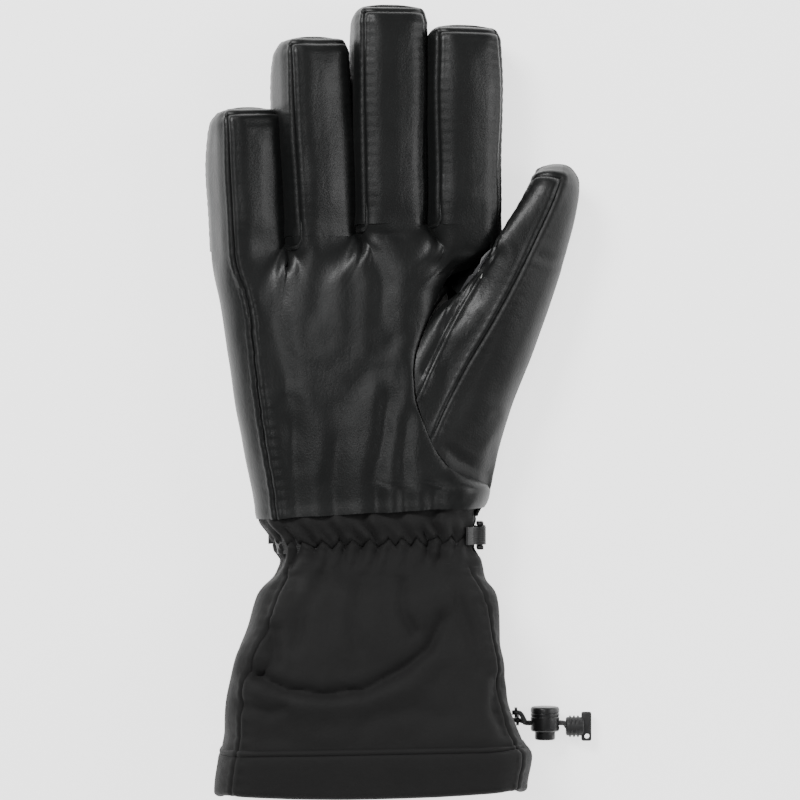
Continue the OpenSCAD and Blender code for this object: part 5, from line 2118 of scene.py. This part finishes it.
@dataclass
class Hand:
    """Palm, back, outer side, wadding and lining of the hand, and the piping round the thumb's base."""

    shop: Workshop
    palm: HandFace
    back: HandFace

    def make(self) -> None:
        """Build the hand's pieces."""
        for face in (self.palm, self.back):
            face.build()
        outward = self.palm.points - np.array([-15.0, 0.0, 15.0])
        outward[..., 1] = 0
        palm = dressed(self.palm.points, self.palm.relief(), False, outward)
        lip = smooth_step(6.0, 0.0, palm[..., 1] - palm[:, :1, 1])
        palm = palm + grid_normals(self.palm.points, False, outward) * (0.5 * lip)[..., None]
        seam = int(np.argmin(self.palm.seam_gap[:, 10]))
        cells = all_cells(palm, False)
        side, top = cells.copy(), cells.copy()
        side[seam:] = False
        top[:seam] = False
        piece = sewn_piece("palm_leather", [Patch(palm, top, False, True)], 1.15)
        self.shop.place(piece, Finish.LEATHER, "hand", ["palm_panel"])
        piece = sewn_piece("outer_side_leather", [Patch(palm, side, False, True)], 1.15)
        self.shop.place(piece, Finish.LEATHER, "hand", ["outer_side_panel"])
        outward = self.back.points - np.array([-15.0, 0.0, 15.0])
        outward[..., 1] = 0
        back = dressed(self.back.points, self.back.relief(), False, outward)
        piece = sewn_piece("back_leather", [Patch(back, all_cells(back, False), False, False)], 1.15)
        self.shop.place(piece, Finish.LEATHER_BACK, "hand", ["back_panel"])
        rows = np.linspace(-69.5, 46.0, 56)
        for name, node, inset, thickness, finish in (
            ("hand_wadding", "hand_insulation", 1.7, 2.0, Finish.WADDING),
            ("hand_fleece", "hand_lining", 4.1, 1.0, Finish.FLEECE),
        ):
            grid = self.inner_loop(rows, inset)
            patch = Patch(grid, all_cells(grid, True), True)
            piece = sewn_piece(name, [patch], thickness)
            self.shop.place(piece, finish, "hand", [node])
            if finish is Finish.WADDING:
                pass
            else:
                declare_cloth(piece, HAND_LINING_GIRTH, float(rows[-1] - rows[0]), "laid")
        self.piping()
        self.crotch_edges(palm)

    def crotch_edges(self, palm: Array) -> None:
        """The turned edges that run round the three crotches."""
        stalls = [finger.grid()[0][:, :14] for finger in FINGERS]
        cloud = np.concatenate([grid[grid[..., 2] > 8.0].reshape(-1, 3) for grid in (palm[:, -20:], *stalls)])
        for name, path in zip(("little_ring", "ring_middle", "middle_index"), crotch_paths()):
            line = []
            for x, y in path[12:-12]:
                away = np.hypot(cloud[:, 0] - x, cloud[:, 1] - y)
                line.append((x, y, float(cloud[np.argsort(away)[:14], 2].max())))
            route = smooth_route(line[::3], 70)
            for _ in range(8):
                route[1:-1, 2] = (route[:-2, 2] + 2 * route[1:-1, 2] + route[2:, 2]) / 4
            sink = 1.2 * np.exp(-np.arange(70) / 4.0) + 1.2 * np.exp(-np.arange(70)[::-1] / 4.0)
            route[:, 2] -= sink - 0.15
            piece = tube_piece(f"crotch_edge_{name}", route, 0.95, 12)
            self.shop.place(piece, Finish.LEATHER, "hand")

    def inner_loop(self, rows: Array, inset: float) -> Array:
        """Closed grid that follows the hand's own sections from inside."""
        loops = []
        t = np.linspace(0, 1, 120, endpoint=False)
        for y in rows:
            front, _ = hand_section(float(y), True, 200)
            back, _ = hand_section(float(y), False, 200)
            line = np.concatenate([front, back[::-1][1:]])
            low, high = line.min(axis=0), line.max(axis=0)
            middle = (low + high) / 2
            size = (high - low) / 2
            waist = 2.4 * math.exp(-(((y - Sleeve.gather) / 7.0) ** 2))
            loops.append(middle + (Sleeve.even(line, t) - middle) * (1 - (inset + 1.2 + waist) / size))
        grid = np.zeros((len(t), len(rows), 3))
        grid[..., 0] = np.stack([loop[:, 0] for loop in loops], axis=1)
        grid[..., 2] = np.stack([loop[:, 1] for loop in loops], axis=1)
        grid[..., 1] = rows[None]
        x, y, z = grid[..., 0], grid[..., 1], grid[..., 2]
        hollow = np.exp(-((x - 27.0) ** 2 + (y - 51.0) ** 2) / (2 * 11.0**2))
        ends = np.sum([np.exp(-(((x - c) / 7.0) ** 2)) * smooth_step(d - 22, d - 2, y) for c, d in CROTCHES], axis=0)
        grid[..., 2] = np.maximum(z - (9.0 * hollow + 9.0 * ends) * smooth_step(12, 24, z), 2.0)
        return grid

    def piping(self) -> None:
        """The turned edge that covers the seam round the thumb's base, and its stitches."""
        dense = smooth_route([(x, y, 0.0) for x, y in THENAR_KNOTS], 160)
        dense[:, 2] = RIGHT_HEIGHT(dense[:, 1])
        hollow = np.exp(-((dense[:, 0] - 27.0) ** 2 + (dense[:, 1] - 51.0) ** 2) / (2 * 8.0**2))
        dense[:, 2] -= 5.0 * hollow
        inward = np.gradient(dense, axis=0)
        side = np.stack([inward[:, 1], -inward[:, 0], 0 * inward[:, 0]], axis=1)
        side /= np.linalg.norm(side, axis=1, keepdims=True)
        if side[80, 0] > 0:
            side = -side
        normal = np.cross(side, inward)
        normal /= np.linalg.norm(normal, axis=1, keepdims=True)
        normal *= np.sign(normal[80, 2])
        offsets = ((-0.6, -0.7), (-0.2, 0.25), (0.4, 0.62), (1.2, 0.85), (2.2, 0.82), (3.2, 0.62), (4.0, 0.2),
            (4.4, -0.6))
        soft = 0.12 * np.sin(np.arange(160) * 0.9)
        grid = np.stack([dense + side * a + normal * (b + soft[:, None]) for a, b in offsets], axis=0)
        piece = sewn_piece("thumb_base_piping", [Patch(grid, all_cells(grid, False), False, False)], 0.8)
        self.shop.place(piece, Finish.LEATHER, "hand", ["thumb_seam_welt"])
        line = dense + side * 3.0 + normal * (0.72 + soft[:, None])
        thread = self.shop.stitches("thumb_base_stitching", line[4:-10], normal[4:-10], 2.6, 1.7, 0.22)
        self.shop.place(thread, Finish.WEBBING, "hand")


@dataclass
class Digits:
    """The four finger stalls with their wadding and lining."""

    shop: Workshop

    def make(self) -> None:
        """Build every finger."""
        for finger in FINGERS:
            self.finger(finger)

    def finger(self, finger: Finger) -> None:
        """Build one finger's four leather panels and two inner layers."""
        body = f"{finger.name}_finger"
        lean = math.radians(finger.lean)
        root = (finger.centre, finger.crease, 14.0)
        tip = (finger.centre - math.sin(lean) * 24.0, finger.crease + math.cos(lean) * 24.0, 14.0)
        bend = (body, root, tip)
        points, fields = finger.grid()
        centre = points.mean(axis=0, keepdims=True)
        moved = finger.close_tip(dressed(points, finger.relief(points, fields), True, points - centre))
        masks = finger.masks()
        for panel, finish, node in (
            (Panel.FRONT, Finish.LEATHER, "front_panel"),
            (Panel.BACK, Finish.LEATHER_BACK, "back_panel"),
            (Panel.LEFT, Finish.LEATHER, "side_strip"),
        ):
            piece = sewn_piece(f"{finger.name}_{node}_leather", [Patch(moved, masks[panel], True, True)], 1.1)
            self.shop.place(piece, finish, "hand", [f"{finger.name}_{node}"], bend)
        for name, node, depth, thickness, finish in (
            ("wadding", "insulation", 1.6, 2.1, Finish.WADDING),
            ("fleece", "lining", 4.1, 0.9, Finish.FLEECE),
        ):
            inner = inner_layer(moved, points - centre, depth + 0.9)
            patch = Patch(inner, all_cells(inner, True), True, True)
            piece = sewn_piece(f"{finger.name}_{name}", [patch], thickness)
            self.shop.place(piece, finish, "hand", [f"{finger.name}_{node}"], bend)
            if finish is Finish.WADDING:
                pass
            else:
                declare_cloth(piece, STALL_LINING_GIRTH, finger.length + STALL_DOME, "laid")


@dataclass
class Thumb:
    """The thumb stall with its base, wadding and lining."""

    shop: Workshop
    stall: ThumbStall = field(default_factory=ThumbStall)

    def make(self) -> None:
        """Build the thumb's three leather strips and two inner layers."""
        stall = self.stall
        points, fields = stall.grid()
        centre = points.mean(axis=0, keepdims=True)
        outward = points - centre
        outward[..., 2] *= 2.0
        moved = dressed(points, stall.relief(points, fields), True, outward)
        part, segment = fields["part"], fields["segment"]
        run = fields["v"][0, :-1]
        fold = (1 - run) * 170.0 < 4.2
        face = ((part == 1) & (segment == 1))[:, None]
        beside = (part == 0) | ((part == 1) & (segment == 0)) | ((part == 2) & (segment == 1))
        strip = face & ~fold[None]
        inner = beside[:, None] | (face & fold[None])
        outer = ~strip & ~inner
        bend = ("thumb", (25.0, 7.2, 15.0), (43.0, 9.8, 15.0))
        for name, mask, finish, nodes in (
            ("thumb_front_leather", strip, Finish.LEATHER, ["thumb_front_panel", "thenar_panel"]),
            ("thumb_inner_leather", inner, Finish.LEATHER, ["thumb_side_strip"]),
            ("thumb_outer_leather", outer, Finish.LEATHER_BACK, ["thumb_back_panel"]),
        ):
            piece = sewn_piece(name, [Patch(moved, mask, True, True)], 1.1)
            self.shop.place(piece, finish, "hand", nodes, bend)
        for name, node, depth, thickness, finish in (
            ("thumb_wadding", "thumb_insulation", 1.8, 2.0, Finish.WADDING),
            ("thumb_fleece", "thumb_lining", 4.2, 0.9, Finish.FLEECE),
        ):
            inside = inner_layer(moved, outward, depth + 0.9)[:, 6:-7]
            patch = Patch(inside, all_cells(inside, True), True, True)
            piece = sewn_piece(name, [patch], thickness)
            self.shop.place(piece, finish, "hand", [node], bend)
            if finish is Finish.WADDING:
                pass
            else:
                declare_cloth(piece, *THUMB_LINING, "laid")


# ---------------------------------------------------------------- studio


@dataclass
class Studio:
    """Camera, floor and soft lights."""

    lens: float = 168.0
    height: float = 1.6
    centre: tuple[float, float] = (0.0023, -0.00105)

    def camera(self) -> None:
        """Add the camera, which looks straight down."""
        data = bpy.data.cameras.new("camera")
        data.lens = self.lens
        data.sensor_width = 36.0
        camera = bpy.data.objects.new("camera", data)
        camera.location = (*self.centre, self.height)
        bpy.context.collection.objects.link(camera)
        bpy.context.scene.camera = camera

    def lamp(self, name: str, place: Sequence[float], size: tuple[float, float], power: float) -> None:
        """Add a soft area light aimed at the glove."""
        data = bpy.data.lights.new(name, "AREA")
        data.shape = "RECTANGLE"
        data.size, data.size_y = size
        data.energy = power
        lamp = bpy.data.objects.new(name, data)
        lamp.location = place
        from_up = np.array([0.0, 0.0, 0.02]) - np.array(place)
        pitch = math.acos(-from_up[2] / np.linalg.norm(from_up))
        turn = math.atan2(-from_up[0], from_up[1]) if pitch > 1e-6 else 0.0
        lamp.rotation_euler = (pitch, 0.0, turn)
        bpy.context.collection.objects.link(lamp)

    def floor(self) -> None:
        """Add the floor, name it and give it its finish."""
        bpy.ops.object.select_all(action="DESELECT")
        bpy.ops.mesh.primitive_plane_add(size=6.0, location=(0, 0, 0))
        floor = bpy.context.active_object
        floor.name = "floor"
        floor.data.materials.append(Floor("studio_floor").material())

    def make(self) -> None:
        """Add the floor and the lights."""
        self.floor()
        self.lamp("key", (-0.72, 0.95, 1.15), (0.6, 0.5), 25.0)
        self.lamp("fill", (1.25, 0.15, 0.75), (0.6, 0.7), 9.0)
        self.lamp("low", (0.0, -1.4, 0.7), (0.9, 0.4), 5.0)
        self.lamp("overhead", (-0.30, 0.26, 2.0), (0.45, 0.6), 5.0)
        world = bpy.data.worlds.new("studio_world")
        world.use_nodes = True
        world.node_tree.nodes["Background"].inputs["Color"].default_value = (1.0, 1.0, 1.0, 1.0)
        world.node_tree.nodes["Background"].inputs["Strength"].default_value = 0.3
        bpy.context.scene.world = world


def main() -> None:
    """Build the studio and the glove."""
    logging.basicConfig(level=logging.INFO, format="%(name)s: %(message)s")
    studio = Studio()
    studio.camera()
    shop = Workshop(Wardrobe())
    Drawcord(shop).make()
    sleeve = Sleeve()
    sleeve.build()
    Gauntlet(shop, sleeve).make()
    WristBuckle(shop).make()
    Hand(shop, HandFace(True), HandFace(False)).make()
    Digits(shop).make()
    Thumb(shop).make()
    shop.wardrobe.dress_node("cord_eyelets", Finish.PLASTIC)
    studio.make()
    LOG.info("%d pieces", len(shop.made))


if __name__ == "__main__":
    main()
